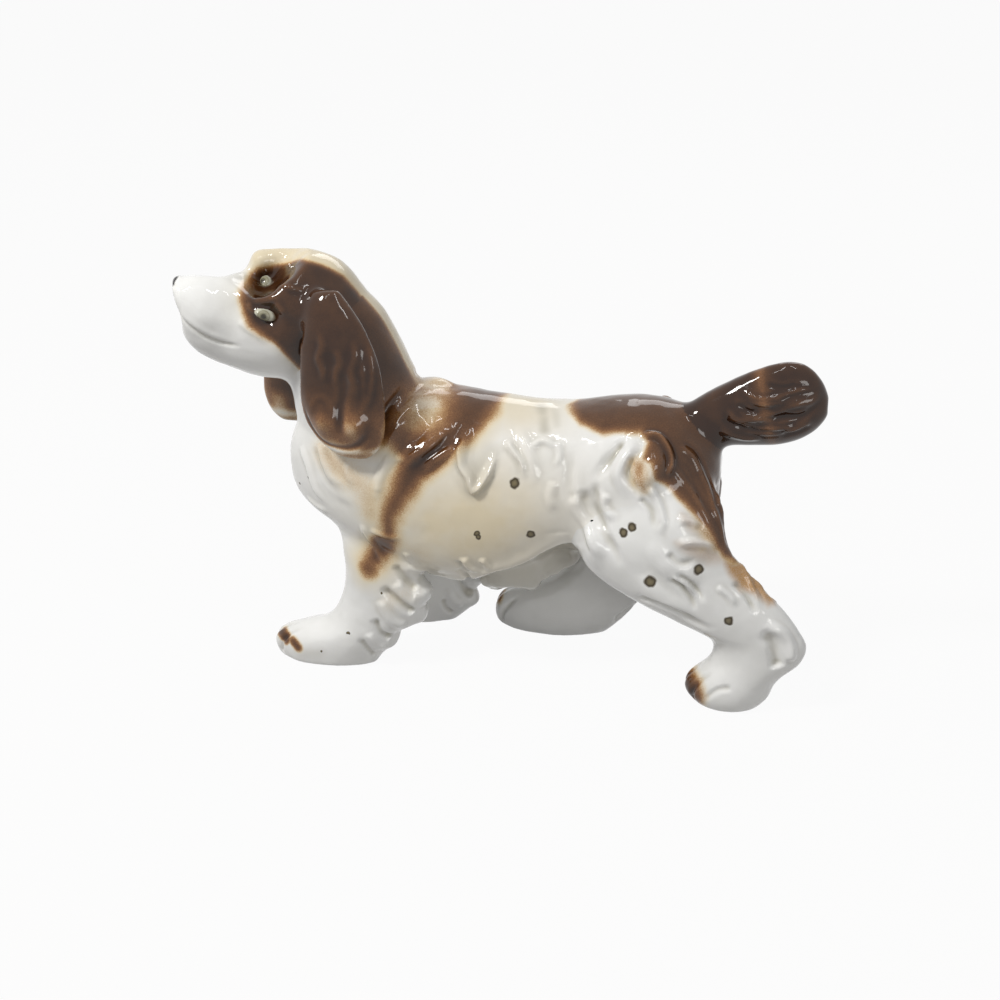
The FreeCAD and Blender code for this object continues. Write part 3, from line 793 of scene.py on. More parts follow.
def leg_forms():
    for side, fore in ((NEAR, "foreleg_left"), (FAR, "foreleg_right")):
        shift = node_box(fore)[0][0] - FORE_TOE
        for face in (NEAR, FAR):
            outer = face == side

            def path(outline):
                moved = [(x + shift, z) for x, z in outline]
                return on_side(moved, face, [fore, "torso"], 0.0 if side == NEAR and outer else 0.5)

            layer = Layer()
            layer.lay(FORE_STROKES + (ARM_STROKES if outer else []), path)
            layer.press()

        layer = Layer()
        leg = clay.points[on(fore)]
        for height, rise in FEATHER_STEPS:
            level = leg[np.abs(leg[:, 2] - height) < 1.0]
            rear = level[np.argmax(level[:, 0])]
            layer.lump((rear[0] - 1, rear[1], height), (5.5, 8, 2.6), rise, [fore])
        layer.press(1)

    for node in LEG_NODES:
        paw = clay.points[on(node) & (clay.points[:, 2] < TOE_HEIGHT)]
        toe = paw[paw[:, 0] < paw[:, 0].min() + TOE_LENGTH]
        front, left, right = toe[:, 0].min(), toe[:, 1].min(), toe[:, 1].max()
        middle, half = (left + right) / 2, (right - left) / 2
        layer = Layer()
        # Three short grooves part the toes.
        for share in TOE_GROOVES:
            across = middle + share * half
            back = front + 2.5 + 9 * share * share
            groove = [(back + 9, across * 0.3 + (middle + share * half * 0.8) * 0.7, 13.5), (back + 4, across, 10.5),
                      (back, across, 6), (back - 1, across, 1)]
            layer.add(settle(groove), 1.7, -1.0, start=0.5, end=0.05)
        layer.press(1)


# The tuft behind each hind pastern stands out as a flap with a hollow before it, and a fold lies over the paw.
TUFT_STROKES = [
    ([(97, 34), (101, 30), (103, 24), (103.5, 19)], 3.4, -2.3, dict(start=0.3, end=0.1)),
    ([(98, 37), (104, 33.5), (107.5, 28), (108, 21)], 3.0, 1.5, dict(start=0.3, end=0.15)),
    ([(88, 12), (83, 10.5), (79.5, 7), (79, 3)], 1.6, -0.8),
]


def tuft_forms():
    for node in ("hindleg_left", "hindleg_right"):
        shift = node_box(node)[1][0] - HIND_HEEL
        layer = Layer()
        for face in (NEAR, FAR):
            layer.lay(TUFT_STROKES, lambda outline: on_side([(x + shift, z) for x, z in outline], face, [node]))
        layer.press()


# Ridges of an ear: shares of its length and height from its lower front corner, width, height of the stroke.
EAR_RIDGES = [
    ([(0.24, 0.80), (0.30, 0.72), (0.25, 0.64), (0.31, 0.56), (0.27, 0.49)], 2.0, 0.8),
    ([(0.46, 0.72), (0.52, 0.63), (0.46, 0.55), (0.50, 0.48)], 2.0, 0.7),
    ([(0.66, 0.78), (0.70, 0.67), (0.65, 0.57), (0.70, 0.47), (0.66, 0.40)], 2.2, 0.8),
    ([(0.38, 0.70), (0.39, 0.60), (0.38, 0.50)], 2.0, -0.5),
    ([(0.84, 0.78), (0.89, 0.60), (0.87, 0.44), (0.80, 0.30)], 1.5, 0.7),
    ([(0.76, 0.66), (0.80, 0.52), (0.79, 0.38), (0.72, 0.30)], 1.2, 0.4),
    ([(0.57, 0.60), (0.56, 0.46), (0.53, 0.34), (0.50, 0.22), (0.49, 0.14)], 2.2, -1.0),
    ([(0.02, 0.34), (0.10, 0.20), (0.22, 0.11), (0.40, 0.065), (0.60, 0.065), (0.78, 0.13), (0.88, 0.24)], 1.3, -0.8),
    ([(0.12, 0.30), (0.22, 0.40), (0.36, 0.40), (0.46, 0.30)], 1.5, 0.4),
]
# Its rolled ends: shares of the middle, radius and height.
EAR_ROLLS = [((0.30, 0.26), (5.2, 6, 5.6), 2.1), ((0.66, 0.24), (5.0, 6, 5.0), 2.3), ((0.12, 0.36), (2.8, 5, 4.6), 0.5),
             ((0.50, 0.86), (9, 6, 8), 0.6)]


def ear_forms():
    """Each ear hangs in long waved strands that end in rolled lobes over a thin rim."""
    for node, side in (("ear_left", NEAR), ("ear_right", FAR)):
        path = share_path(node, side, [node])
        layer = Layer()
        for middle, radius, height in EAR_ROLLS:
            layer.lump(path([middle])[0], radius, height, [node])
        layer.press()
        layer = Layer()
        for shares, width, height in EAR_RIDGES:
            layer.add(path(shares), width, height, start=0.25, end=0.25)
        layer.press(4)


# Locks of the tail: shares of its length and height, width and height of the stroke.
TAIL_RIDGES = [
    ([(0.26, 0.34), (0.34, 0.26), (0.46, 0.20), (0.60, 0.20)], 2.0, 0.8),
    ([(0.28, 0.46), (0.35, 0.36), (0.47, 0.30), (0.58, 0.32)], 1.6, -0.9),
    ([(0.30, 0.56), (0.38, 0.46), (0.50, 0.42), (0.62, 0.46)], 2.4, 1.0),
    ([(0.38, 0.64), (0.46, 0.55), (0.56, 0.54)], 1.6, -0.9),
    ([(0.42, 0.74), (0.52, 0.66), (0.64, 0.68), (0.76, 0.76)], 2.4, 0.9),
    ([(0.54, 0.82), (0.66, 0.80), (0.80, 0.86)], 1.6, -0.8),
    ([(0.60, 0.28), (0.70, 0.34), (0.80, 0.36), (0.92, 0.48)], 2.4, 0.9),
    ([(0.60, 0.40), (0.72, 0.47), (0.84, 0.52), (0.94, 0.62)], 1.7, -0.9),
    ([(0.64, 0.56), (0.76, 0.60), (0.88, 0.68), (0.96, 0.76)], 2.2, 0.8),
    ([(0.70, 0.22), (0.82, 0.25), (0.92, 0.36)], 1.6, -0.8),
    ([(0.44, 0.36), (0.48, 0.31), (0.53, 0.27)], 1.1, 0.5),
    ([(0.50, 0.48), (0.56, 0.44), (0.62, 0.43)], 1.1, 0.5),
]
# The guides between which its fine strands lie.
TAIL_GUIDES = ([(0.28, 0.40), (0.40, 0.26), (0.56, 0.20), (0.74, 0.24), (0.90, 0.36)],
               [(0.42, 0.78), (0.52, 0.72), (0.66, 0.74), (0.80, 0.80), (0.92, 0.84)])


def tail_forms():
    """The docked tail is thick with hair: curved locks that sweep back to its end."""
    for side in (NEAR, FAR):
        path = share_path("tail", side, ["tail", "torso"])
        layer = Layer()
        for shares, width, height in TAIL_RIDGES:
            shares = [(u, v + 0.02 * random.normal()) for u, v in shares]
            layer.add(path(shares), width, height, start=0.25, end=0.3)
        comb(layer, *TAIL_GUIDES, 7, 1.2, 0.38, path, lively=0.05, start=0.15, end=0.2)
        layer.press(1)


def wet_glaze():
    """Gentle unevenness of hand-fettled clay under glaze."""
    amount = 0.24 * layered_noise(clay.points, 9.0) + 0.06 * value_noise(clay.points, 3.5)
    clay.push(amount)
    clay.relax(np.full(len(clay.points), 0.6), 2)


broad_forms()
face_forms()
body_hair()
leg_forms()
tuft_forms()
ear_forms()
tail_forms()
wet_glaze()
# The soles are ground flat.
clay.points[:, 2] = np.maximum(clay.points[:, 2], 0.0)


# Paint: sprayed brown, ochre touches, the glaze that pools in the hollows, and painted shade in the recess under the
# belly.
def to_segment(points, a, b):
    """Distance of each point to the line from a to b."""
    run = b - a
    t = np.clip(((points - a) @ run) / max(run @ run, 1e-9), 0, 1)
    return np.linalg.norm(points - a - t[:, None] * run, axis=1)


def inside(outline, points):
    """Signed distance to a closed outline in the plane, positive inside."""
    corners = np.asarray(outline, float)
    best = np.full(len(points), 1e9)
    crossed = np.zeros(len(points), bool)
    for a, b in zip(corners, np.roll(corners, -1, axis=0)):
        best = np.minimum(best, to_segment(points, a, b))
        if a[1] != b[1]:
            level = (points[:, 1] >= min(a[1], b[1])) & (points[:, 1] < max(a[1], b[1]))
            crossed ^= level & (points[:, 0] < a[0] + (points[:, 1] - a[1]) * (b[0] - a[0]) / (b[1] - a[1]))
    return np.where(crossed, best, -best)


def near_path(path, points):
    """Distance to a polyline in space."""
    path = np.asarray(path, float)
    return np.min([to_segment(points, a, b) for a, b in zip(path[:-1], path[1:])], axis=0)


def spray(distance, soft):
    """Density of a sprayed edge: 0 outside, 1 inside, over a soft band."""
    return smooth(-soft, soft, distance)


# The brown patches in the side view, and the head's in the side view of its own frame.
SHOULDER_PATCH = [(-62, 140), (-47, 139), (-40, 130), (-34, 119), (-28, 112), (-20, 112), (-10, 112), (0, 112),
                  (1, 100), (-3, 96), (-6, 93), (-10, 90), (-13, 86), (-17, 82), (-21, 78), (-23, 74), (-26, 69),
                  (-30, 64), (-30, 59), (-30, 54), (-33, 48), (-38, 42), (-44, 40), (-46, 45), (-43, 51),
                  (-38, 57), (-38, 65), (-36, 73), (-32, 80), (-29, 86), (-34, 90), (-45, 90), (-58, 96)]
SADDLE_PATCH = [(24, 101), (30, 98), (38, 97), (45, 98), (51, 98), (54, 96), (53, 92), (56, 91), (58, 86), (61, 84),
                (65, 80), (71, 75), (76, 70), (79, 65), (82, 60), (86, 57), (100, 66), (120, 80), (125, 130),
                (70, 130), (30, 112)]
HAUNCH_PATCH = [(50, 90), (53, 91), (55, 86), (54, 82), (51, 84)]
HEAD_PATCH = [(-1, 15), (-4, 13), (-6, 9), (-8, 5), (-9, 1), (-8, -2), (-6, -4.5), (-2, -6), (2, -8), (10, -14),
              (20, -30), (60, -30), (60, 40), (8, 40)]


# The head's patch as the photograph shows it, in the head's frame: to the right and up.
HEAD_SEEN = [(-3.7, 7.6), (-1.4, 9.2), (4.3, 10.9), (13.5, 11.3), (21.6, 9.4), (28.5, 5.9), (35.4, -1.6), (41, -11),
             (60, -40), (60, -70), (16, -70), (14.5, -27), (6, -17.5), (1, -14.2), (-2.3, -11.3), (-3.9, -7.3),
             (-5.3, -2.7), (-4.9, 3.1)]


def belly_shade(p):
    """How far each point lies in the recess under the lip of the flank, which is darkened there with painted shade."""
    lip = np.interp(p[:, 0], LIP[:, 0], LIP[:, 1])
    return window(p[:, 0], -27, -18, 28, 34) * (1 - smooth(-2.5, -0.5, p[:, 2] - lip)) * on("torso")


def add_marks(field, marks, p, ragged, where):
    """Lays painted marks over a field, wherever they are stronger than what is there."""
    for path, wide, soft, strength in marks:
        field = np.maximum(field, strength * spray(wide - near_path(path, p) + ragged, soft) * where)
    return field


def hollows(p):
    """How far each point lies below the skin around it."""
    flat = p.copy()
    for _ in range(6):
        flat = flat + 0.6 * (clay.spread(flat) - flat)
    return clay.spread(clay.spread(((flat - p) * clay.normals).sum(1)))


def head_paint(p, wander):
    """The brown of the head, and the cream that its bare band shows."""
    head = world_to_head(p)
    hx, hy, hz = head[:, 0], head[:, 1], head[:, 2]
    patch = inside(HEAD_PATCH, head[:, [0, 2]]) + 0.6 * wander
    crown = 0.80 * spray(patch - 0.4, 1.6) + 0.12 * spray(patch + 1.5, 3.5)
    middle = np.interp(hx, [-8, 2, 8, 14, 40], [6.5, 7.0, 5.5, 3.4, 2.2])
    half = np.interp(hx, [-8, 2, 8, 14, 40], [5.5, 5.5, 5.5, 5.2, 5.0])
    level = np.interp(hx, [0, 6, 14], [3.5, 7.0, -40.0])
    bare = (1 - smooth(half - 1.2, half + 2.6, np.abs(hy - middle))) * smooth(level, level + 3.0, hz)
    crown = crown * (1 - 0.95 * bare)
    # On the left side the patch keeps its outline up to the bare band over the skull.
    right, up, back = view_axes()
    across, rise = head @ (right @ HEAD_TURN), head @ (up @ HEAD_TURN)
    seen = inside(HEAD_SEEN, np.column_stack([across, rise])) + 0.5 * wander
    soft = 1.5 + 1.8 * smooth(6, -3, across)
    seen = 0.80 * spray(seen - 0.4, soft) + 0.12 * spray(seen + 1.2, 3.5)
    turned = smooth(-0.25, 0.05, clay.normals @ back)
    band = smooth(4, 8, rise + 1.2 * np.clip(across - 20, 0, None)) * smooth(-8, -2, across)
    return (turned * seen + (1 - turned) * crown) * on("head"), (turned * band + (1 - turned) * bare) * on("head")


def lay_paint():
    """The paint at each point: sprayed brown, ochre, glaze pooled in hollows together with painted shade under the
    belly, and cream under the glaze.
    """
    p = clay.points
    x, y, z = p[:, 0], p[:, 1], p[:, 2]
    wander = layered_noise(p, 7.0)
    # The far side's patches wander off the near side's outlines.
    stray = np.column_stack([value_noise(p + 11.0, 16.0), value_noise(p + 43.0, 16.0)])
    view = p[:, [0, 2]] + smooth(-3, 3, y)[:, None] * stray * 3.0
    body = ~on("head", "ear_left", "ear_right")
    hollow = hollows(p)

    shoulder_gap = inside(SHOULDER_PATCH, view)
    low = 1 - smooth(74, 86, z)
    gap = shoulder_gap + 1.0 * wander - 1.3 * low
    shoulder = ((0.62 - 0.12 * low) * spray(gap, 4.0 + 2.0 * low) + 0.26 * spray(gap - 2.4, 4.0)) * body
    # Along the back of the neck a pale stripe stays bare.
    stripe = (1 - smooth(4.0, 8.0, np.abs(y - 3.4))) * smooth(97, 113, z) * (x < -18)
    shoulder = shoulder * (1 - 0.97 * stripe)
    # The upper shoulder is thin, so it shows gold.
    thin = blob(x, z, (-24, 100), (12, 8.5)) * body * smooth(84, 92, z)
    shoulder = shoulder * (1 - 0.78 * thin * (1 + 0.35 * wander))
    gap = inside(SADDLE_PATCH, view) + 0.7 * wander
    saddle = (0.66 * spray(gap, 1.8) + 0.10 * spray(gap - 2.0, 3.0)) * body
    haunch = 0.36 * spray(inside(HAUNCH_PATCH, view) + 0.8 * wander + 0.8, 3.4) * body
    brown = np.maximum(np.maximum(shoulder, saddle), haunch)
    brown = add_marks(brown, SOFT_BROWN, p, 0.8 * wander, body)
    crown, bare = head_paint(p, wander)
    brown = np.maximum(brown, crown)

    ochre = np.zeros(len(p))
    # The ears are brown all over, lighter where the glaze thins on their rolled ends.
    for node in ("ear_left", "ear_right"):
        low, high = node_box(node)
        depth = (z - low[2]) / (high[2] - low[2])
        across = (x - low[0]) / (high[0] - low[0])
        rolled = 1 - smooth(0.14, 0.50, depth)
        crest = np.clip(-hollow * 2.2, -0.1, 0.45)
        thinned = 0.60 * rolled * (0.55 + 0.45 * value_noise(p + 5.0, 6.0)) + crest * rolled
        rim = np.exp(-((depth - 0.055) / 0.03) ** 2)
        brown = np.where(on(node), 0.94 - thinned - 0.28 * rim, brown)
        strands = smooth(0.72, 0.9, across) * window(depth, 0.12, 0.3, 0.5, 0.75)
        ochre = np.maximum(ochre, 0.45 * strands * on(node))
    brown = np.where(on("tail"), 0.99, brown)
    band = np.exp(-((x - 92 + 0.25 * (z - 104)) / 2.3) ** 2) * on("tail") * smooth(-5, 1, -y)
    brown = brown * (1 - 0.38 * band)
    brown = add_marks(brown, TOE_MARKS, p, 0.5 * wander, on(*LEG_NODES))
    # The fringe behind the hock and smears on the thigh are ochre.
    for outline, soft, strength in OCHRE_MARKS:
        ochre = np.maximum(ochre, strength * spray(inside(outline, p[:, [0, 2]]) + 0.7 * wander, soft) * body)

    # Glaze pools where the skin is hollow and at the stop. Under the belly the same olive-grey is painted shade for the
    # recess below the lip.
    pool_and_shade = add_marks(np.clip(hollow * 3.4, 0, 0.85), OLIVE_MARKS, p, 0.6 * wander, 1.0)
    head = world_to_head(p)
    stop = blob(head[:, 0], head[:, 2], (-9, 1), (6, 8)) * on("head")
    # The belly's share here is painted shade, not pooled glaze.
    pool_and_shade = np.maximum(pool_and_shade, np.maximum(0.55 * belly_shade(p), 0.40 * stop))
    # Cream: strongest along the back, the neck's stripe and the skull, weaker on the flanks.
    back = blob(x, z, (8, 102), (19, 8)) * on("torso")
    flank = blob(x, z, (-6, 64), (34, 24)) * on("torso")
    strip = np.maximum(stripe * on("torso"), bare)
    halo = spray(shoulder_gap + 5.5, 5.0) * body * (z < 100)
    cream = np.max([0.85 * back, 1.05 * flank * (1 + 0.2 * wander), strip, 0.75 * halo], axis=0)
    brown = brown - np.clip(-hollow * 1.6, 0, 0.35) * brown + np.clip(hollow * 1.5, 0, 0.2) * (brown > 0.4)
    return np.clip(np.column_stack([brown, ochre, pool_and_shade, cream]), 0, 1)


# Painted marks: a path in space, half width, softness and strength.
SOFT_BROWN = [
    ([(-58, -22, 84), (-50, -25, 79), (-42, -26, 74), (-40, -27, 66)], 4.0, 6.0, 0.22),
    ([(-32, -27, 56), (-22, -28, 50), (-25, -27, 36), (-35, -27, 30)], 3.0, 6.5, 0.12),
    ([(-30, -29, 64), (-28, -29, 72), (-22, -28, 79)], 1.5, 4.0, 0.30),
    ([(-43, -29, 43), (-41, -29, 48), (-37, -28, 52)], 4.2, 3.6, 0.80),
    ([(-43, 29, 43), (-41, 29, 48), (-37, 28, 52)], 4.2, 3.6, 0.80),
    ([(56, -27, 97), (61, -26, 92), (61, -28, 86)], 1.2, 2.2, 0.5),
    ([(69, -28, 66), (74, -28, 64)], 1.2, 2.4, 0.32),
    ([(74, -28, 71), (79, -26, 64)], 1.4, 2.6, 0.34),
]
TOE_MARKS = [
    ([(-79, -20, 9), (-76, -24, 8)], 1.8, 1.4, 0.92),
    ([(-74, -26.5, 9.5), (-71, -28, 7)], 1.9, 1.4, 0.92),
    ([(-58, 12, 9), (-58, 20, 9)], 2.2, 2.2, 0.80),
    ([(70, -15, 3), (69.5, -21, 5), (71.5, -27, 5)], 6.0, 4.8, 1.0),
    ([(-6, 12, 10), (-5, 20, 12)], 2.6, 2.0, 0.85),
]
# Closed outlines in the side view, softness and strength.
OCHRE_MARKS = [
    ([(81, 61), (86, 62), (96, 54), (104, 42), (98, 42), (93, 46), (88, 48), (84, 54)], 1.6, 0.95),
    ([(66, 66), (72, 67), (80, 64), (83, 58), (77, 58), (70, 62)], 2.6, 0.45),
    ([(67, 75), (72, 73), (78, 67), (75, 66), (69, 71)], 2.4, 0.42),
]
OLIVE_MARKS = [
    ([(15, -3, 101), (17, -9, 100), (18, -14, 96)], 1.6, 1.8, 0.75),
    ([(20, -5, 101), (22, -12, 98)], 1.2, 1.8, 0.55),
    ([(-8, -24, 85), (-3, -25, 84), (1, -22, 90)], 2.6, 3.0, 0.45),
    ([(-70, -27, 5), (-62, -28, 6)], 1.5, 2.5, 0.30),
]
# Spots by side: along, height, radius. The marks smaller than a millimetre are flecks in the glaze.
NEAR_SPOTS = [(10, 80, 1.9), (-2.4, 61.8, 1.15), (-1.9, 60.4, 1.1), (16, 62, 1.6), (48, 67.6, 1.7), (51, 69.6, 1.7),
              (58, 51, 2.3), (74, 56, 1.9), (85.2, 37.4, 1.8), (-65, 73, 0.5), (-70, 68, 0.5), (-51, 15, 0.6),
              (-61, 7, 0.5), (-38, 33, 0.4)]
FAR_SPOTS = [(-6, 72, 1.9), (12, 58, 1.5), (22, 76, 1.7), (52, 62, 2.0), (70, 50, 1.8), (-52, 66, 1.4)]

paint = lay_paint()


# The glaze: one recipe for both slots. The paint layers come from the skin's own attribute.
GLOSS = {"Roughness": 0.07, "Specular IOR Level": 0.36, "Coat Weight": 0.10, "Coat Roughness": 0.03}
# The ripple's depth in metres, and how fine it is.
RIPPLE_DEPTH = 0.0004
RIPPLE_SCALE = 260


class Recipe:
    """Builds the node tree of one glaze."""
    def __init__(self, name):
        self.material = bpy.data.materials.new(name)
        self.material.use_nodes = True
        self.tree = self.material.node_tree
        self.link = self.tree.links.new
        self.shader = self.tree.nodes["Principled BSDF"]
        self.place = self.node("TexCoord").outputs["Object"]

    def node(self, kind, *values, **settings):
        return add_node(self.tree, kind, *values, **settings)

    def maths(self, kind, first, second=0.0, clamp=False):
        return self.node("Math", first, second, operation=kind, use_clamp=clamp).outputs[0]

    def times(self, first, *others):
        for other in others:
            first = self.maths("MULTIPLY", first, other)
        return first

    def held_sum(self, first, second):
        """The sum, held between 0 and 1."""
        return self.maths("ADD", first, second, clamp=True)

    def vector(self, kind, first, second):
        made = self.node("VectorMath", first, second, operation=kind)
        return made.outputs["Value" if kind == "DISTANCE" else "Vector"]

    def grain(self, scale, detail, output="Fac"):
        made = self.node("TexNoise", self.place)
        made.inputs["Scale"].default_value = scale
        made.inputs["Detail"].default_value = detail
        return made.outputs[output]

    def mixed(self, share, first, second):
        made = self.node("Mix", share, data_type="RGBA")
        feed(self.tree, made.inputs[6], first)
        feed(self.tree, made.inputs[7], second)
        return made.outputs[2]

    def ramp(self, value, stops):
        node = self.node("ValToRGB", value)
        elements = node.color_ramp.elements
        stops = [(at, colour if isinstance(colour, tuple) else (colour,) * 3) for at, colour in stops]
        elements[0].position, elements[0].color = stops[0][0], (*stops[0][1], 1)
        elements[1].position, elements[1].color = stops[-1][0], (*stops[-1][1], 1)
        for position, colour in stops[1:-1]:
            elements.new(position).color = (*colour, 1)
        return node.outputs["Color"]

    def gloss(self, ripple=0.05):
        for name, value in GLOSS.items():
            self.shader.inputs[name].default_value = value
        bump = self.node("Bump")
        bump.inputs["Strength"].default_value = ripple
        bump.inputs["Distance"].default_value = RIPPLE_DEPTH
        self.link(self.grain(RIPPLE_SCALE, 2.0), bump.inputs["Height"])
        self.link(bump.outputs[0], self.shader.inputs["Normal"])


# In metres: how far a spot's edge wanders, and how far out from the middle plane the spots of a side end.
SPOT_WOBBLE = 0.0013
SPOT_LIMIT = 0.014
# A painted spot's share of its listed radius.
SPOT_SHARE = 0.9


def spot_field(mix, spots, side):
    """How near the closest spot of one side is, in radii, seen square on to that side."""
    wobble = mix.vector("SCALE", mix.vector("SUBTRACT", mix.grain(420, 1.0, "Color"), (0.5, 0.5, 0.5)), (0, 0, 0))
    wobble.node.inputs["Scale"].default_value = SPOT_WOBBLE
    split = mix.node("SeparateXYZ", mix.vector("ADD", mix.place, wobble))
    flat = mix.node("CombineXYZ", split.outputs[0], 0.0, split.outputs[2])
    closest = 9.0
    for along, height, radius in spots:
        away = mix.vector("DISTANCE", flat.outputs[0], (along * MM, 0.0, height * MM))
        closest = mix.maths("MINIMUM", closest, mix.maths("DIVIDE", away, SPOT_SHARE * radius * MM))
    beyond = mix.maths("GREATER_THAN", mix.maths("MULTIPLY", split.outputs[1], -side), -SPOT_LIMIT)
    return mix.maths("ADD", closest, mix.maths("MULTIPLY", beyond, 9.0))


# Colours of the glaze, as stops of a ramp where they follow the depth of the paint.
BODY_WHITES = [(0.25, (0.79, 0.79, 0.77)), (0.6, (0.83, 0.83, 0.815)), (0.9, (0.86, 0.86, 0.855))]
CREAM = (0.68, 0.595, 0.43)
# The olive of pooled glaze, which under the belly is painted shade.
OLIVE = (0.42, 0.395, 0.32)
OCHRE = (0.47, 0.25, 0.075)
BROWNS = [(0.0, (0.80, 0.72, 0.52)), (0.14, (0.66, 0.48, 0.24)), (0.30, (0.40, 0.225, 0.09)),
          (0.50, (0.19, 0.083, 0.030)), (0.72, (0.092, 0.037, 0.012)), (1.0, (0.030, 0.010, 0.003))]
BROWN_COVER = [(0.0, 0.0), (0.12, 0.45), (0.28, 0.92), (0.4, 1.0)]
# By half the distance from a spot's middle, in its radii.
SPOT_COLOURS = [(0.0, (0.17, 0.135, 0.060)), (0.18, (0.15, 0.115, 0.050)), (0.36, (0.042, 0.031, 0.013)),
                (0.5, (0.10, 0.072, 0.034))]
SPOT_COVER = [(0.0, 0.96), (0.44, 1.0), (0.50, 0.6), (0.60, 0.0)]
# The black of the nose: its colour, its middle in the head's frame and its radius in centimetres.
NOSE_BLACK = (0.012, 0.010, 0.010)
NOSE_MARK = (-31.0, 0.5, 0.6)
NOSE_RADIUS = 0.30


def glaze(name):
    mix = Recipe(name)
    paint = mix.node("Attribute", attribute_name="paint")
    layers = mix.node("SeparateColor", paint.outputs["Color"])
    brown, ochre, pool_and_shade = layers.outputs[0], layers.outputs[1], layers.outputs[2]
    cream = paint.outputs["Alpha"]
    stipple = mix.maths("SUBTRACT", mix.grain(2300, 2.0), 0.5)
    blotch = mix.maths("SUBTRACT", mix.grain(120, 3.0), 0.5)
    edge = mix.times(brown, mix.maths("SUBTRACT", 1.0, brown), 1.5)
    brown = mix.held_sum(brown, mix.times(edge, stipple))
    brown = mix.held_sum(brown, mix.times(blotch, 0.3, brown))
    body = mix.ramp(mix.maths("ADD", blotch, 0.5), BODY_WHITES)
    body = mix.mixed(mix.held_sum(cream, mix.times(blotch, cream, 0.5)), body, CREAM)
    # Pooled glaze in the hollows, and painted shade under the belly, tint the body olive-grey.
    body = mix.mixed(pool_and_shade, body, OLIVE)
    ochre = mix.maths("MULTIPLY", ochre, mix.maths("ADD", 0.95, mix.times(stipple, 0.6)), clamp=True)
    body = mix.mixed(ochre, body, OCHRE)
    colour = mix.mixed(mix.ramp(brown, BROWN_COVER), body, mix.ramp(brown, BROWNS))
    closest = mix.maths("MINIMUM", spot_field(mix, NEAR_SPOTS, NEAR), spot_field(mix, FAR_SPOTS, FAR))
    closest = mix.times(closest, 0.5)
    colour = mix.mixed(mix.ramp(closest, SPOT_COVER), colour, mix.ramp(closest, SPOT_COLOURS))
    nose = mix.vector("DISTANCE", mix.place, in_metres(head_to_world(NOSE_MARK)))
    black = mix.ramp(mix.maths("MULTIPLY", nose, 100.0), [(NOSE_RADIUS - 0.04, 1.0), (NOSE_RADIUS + 0.03, 0.0)])
    mix.link(mix.mixed(black, colour, NOSE_BLACK), mix.shader.inputs["Base Color"])
    mix.gloss()
    return mix.material


materials = {"white_glaze": glaze("white_glaze"), "brown_glaze": glaze("brown_glaze")}


# The eyes: low almond domes set in their sockets, each with a painted iris and pupil.
# Middle, half sizes and the pupil's place from the middle, in the head's frame.
EYES = {NEAR: ((1.1, -13.9, -0.8), (4.1, 2.3, 2.0), (-0.9, -2.185, 0.1)),
        FAR: ((1.8, 7.6, 1.7), (3.0, 4.2, 3.0), (-1.9, -2.4, 1.6))}
LID_SLANT = 0.25


# Colours out from the pupil's middle to the reach in metres: pupil, iris, its edge, the white and the lid.
IRIS_REACH = 0.004
EYE_RINGS = [(0.0, (0.012, 0.010, 0.008)), (0.20, (0.03, 0.025, 0.016)), (0.27, (0.20, 0.19, 0.12)),
             (0.42, (0.34, 0.33, 0.24)), (0.50, (0.22, 0.20, 0.13)), (0.58, (0.50, 0.50, 0.40)),
             (0.75, (0.62, 0.62, 0.52)), (1.0, (0.14, 0.09, 0.05))]
EYE_SPECK = (0.30, 0.27, 0.17)


def eye_glaze(name, centre):
    mix = Recipe(name)
    away = mix.vector("DISTANCE", mix.place, in_metres(centre))
    rings = mix.ramp(mix.times(away, 1 / IRIS_REACH), EYE_RINGS)
    speck = mix.times(mix.grain(1500, 2.0), 0.25)
    mix.link(mix.mixed(speck, rings, EYE_SPECK), mix.shader.inputs["Base Color"])
    mix.gloss(0.02)
    return mix.material


def add_eye(name, side):
    middle, size, pupil = (np.array(v) for v in EYES[side])
    bm = bmesh.new()
    bmesh.ops.create_icosphere(bm, subdivisions=4, radius=1.0)
    for v in bm.verts:
        # The dome narrows to a point at each corner of the lids.
        along = v.co.x
        lids = (1 - abs(along) ** 2.6) ** 0.35 if abs(along) < 1 else 0.0
        rise = size[2] * v.co.z * (0.55 + 0.45 * lids) - LID_SLANT * along * size[2]
        v.co = Vector(head_to_world(middle + (size[0] * along, size[1] * v.co.y, rise)) * MM)
    mesh = to_mesh(bm, name)
    mesh.polygons.foreach_set("use_smooth", [True] * len(mesh.polygons))
    eye = place(name, mesh)
    mesh.materials.append(eye_glaze(f"{name}_glaze", head_to_world(middle + pupil)))
    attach(eye, "root")


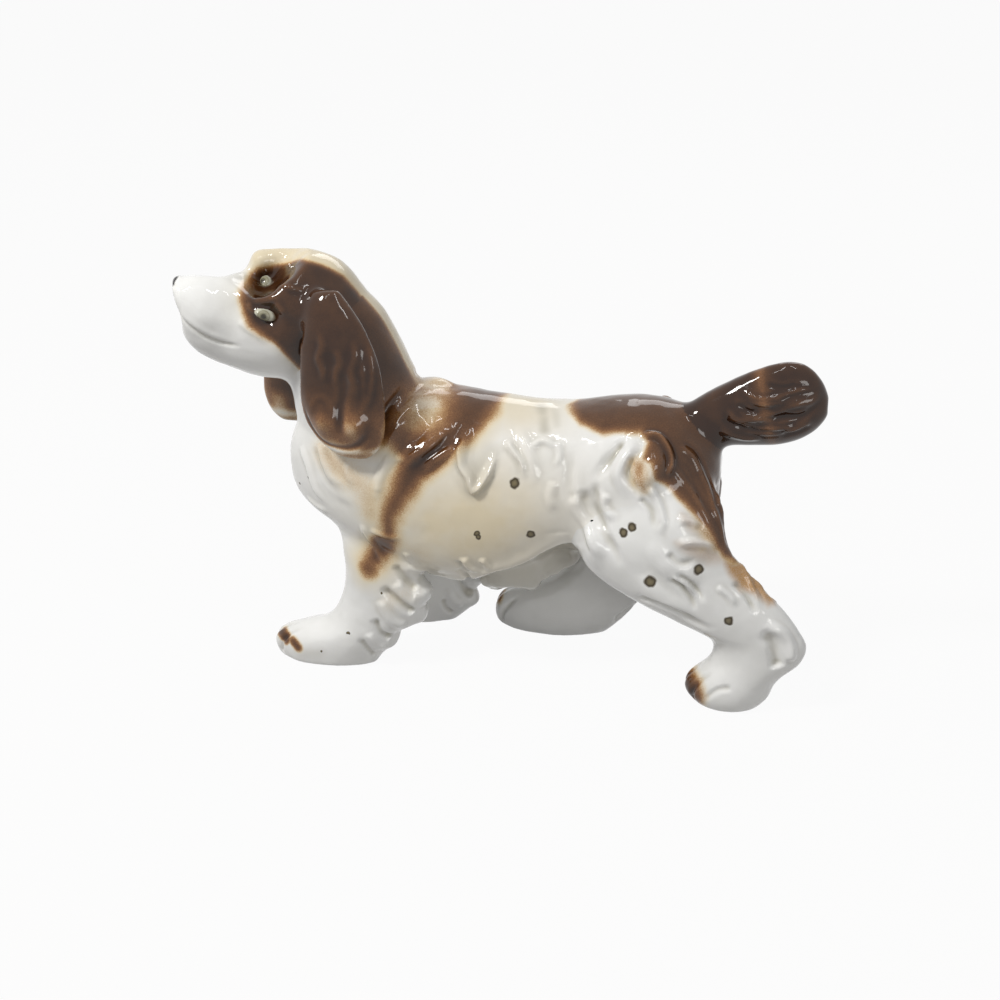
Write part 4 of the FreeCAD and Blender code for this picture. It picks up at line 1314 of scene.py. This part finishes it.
add_eye("eye_left", NEAR)
add_eye("eye_right", FAR)


# The pieces: the skin is parted along the nodes, and each part is closed behind.
def close_behind(bm):
    """Closes each open edge loop of a piece with a fan to its middle, inside the figure."""
    edges = [e for e in bm.edges if e.is_boundary]
    left = set(edges)
    while left:
        start = left.pop()
        loop = [start]
        verts = [start.verts[0], start.verts[1]]
        while verts[-1] is not verts[0]:
            step = next((e for e in verts[-1].link_edges if e in left), None)
            if step is None:
                break
            left.discard(step)
            loop.append(step)
            verts.append(step.other_vert(verts[-1]))
        middle = sum((v.co for v in verts), Vector()) / len(verts)
        hub = bm.verts.new(middle)
        for e in loop:
            bm.faces.new((e.verts[0], e.verts[1], hub))
    bmesh.ops.recalc_face_normals(bm, faces=bm.faces)


def part_skin(paint):
    """One closed mesh for each node, with the normals of the whole skin."""
    majority = owner[clay.quads]
    face_owner = np.where(majority[:, 0] == majority[:, 1], majority[:, 0],
                          np.where(majority[:, 2] == majority[:, 3], majority[:, 2], majority[:, 0]))
    made = {}
    for name in NODES:
        quads = clay.quads[face_owner == node_index[name]]
        used = np.unique(quads)
        index = np.full(len(clay.points), -1)
        index[used] = np.arange(len(used))
        mesh = bpy.data.meshes.new(f"{name}_glazed")
        mesh.from_pydata((clay.points[used] * MM).tolist(), [], index[quads].tolist())
        layer = mesh.attributes.new("paint", "FLOAT_COLOR", "POINT")
        layer.data.foreach_set("color", paint[used].ravel())
        bm = bmesh.new()
        bm.from_mesh(mesh)
        close_behind(bm)
        bm.to_mesh(mesh)
        bm.free()
        mesh.polygons.foreach_set("use_smooth", [True] * len(mesh.polygons))
        inner = [v.normal[:] for v in mesh.vertices[len(used):]]
        mesh.normals_split_custom_set_from_vertices(clay.normals[used].tolist() + inner)
        made[name] = mesh
    return made


for name, mesh in part_skin(paint).items():
    piece = place(f"{name}_glazed", mesh)
    slot = "white_glaze" if name in WHITE_NODES else "brown_glaze"
    mesh.materials.append(materials[slot])
    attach(piece, "root")
    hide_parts(name)
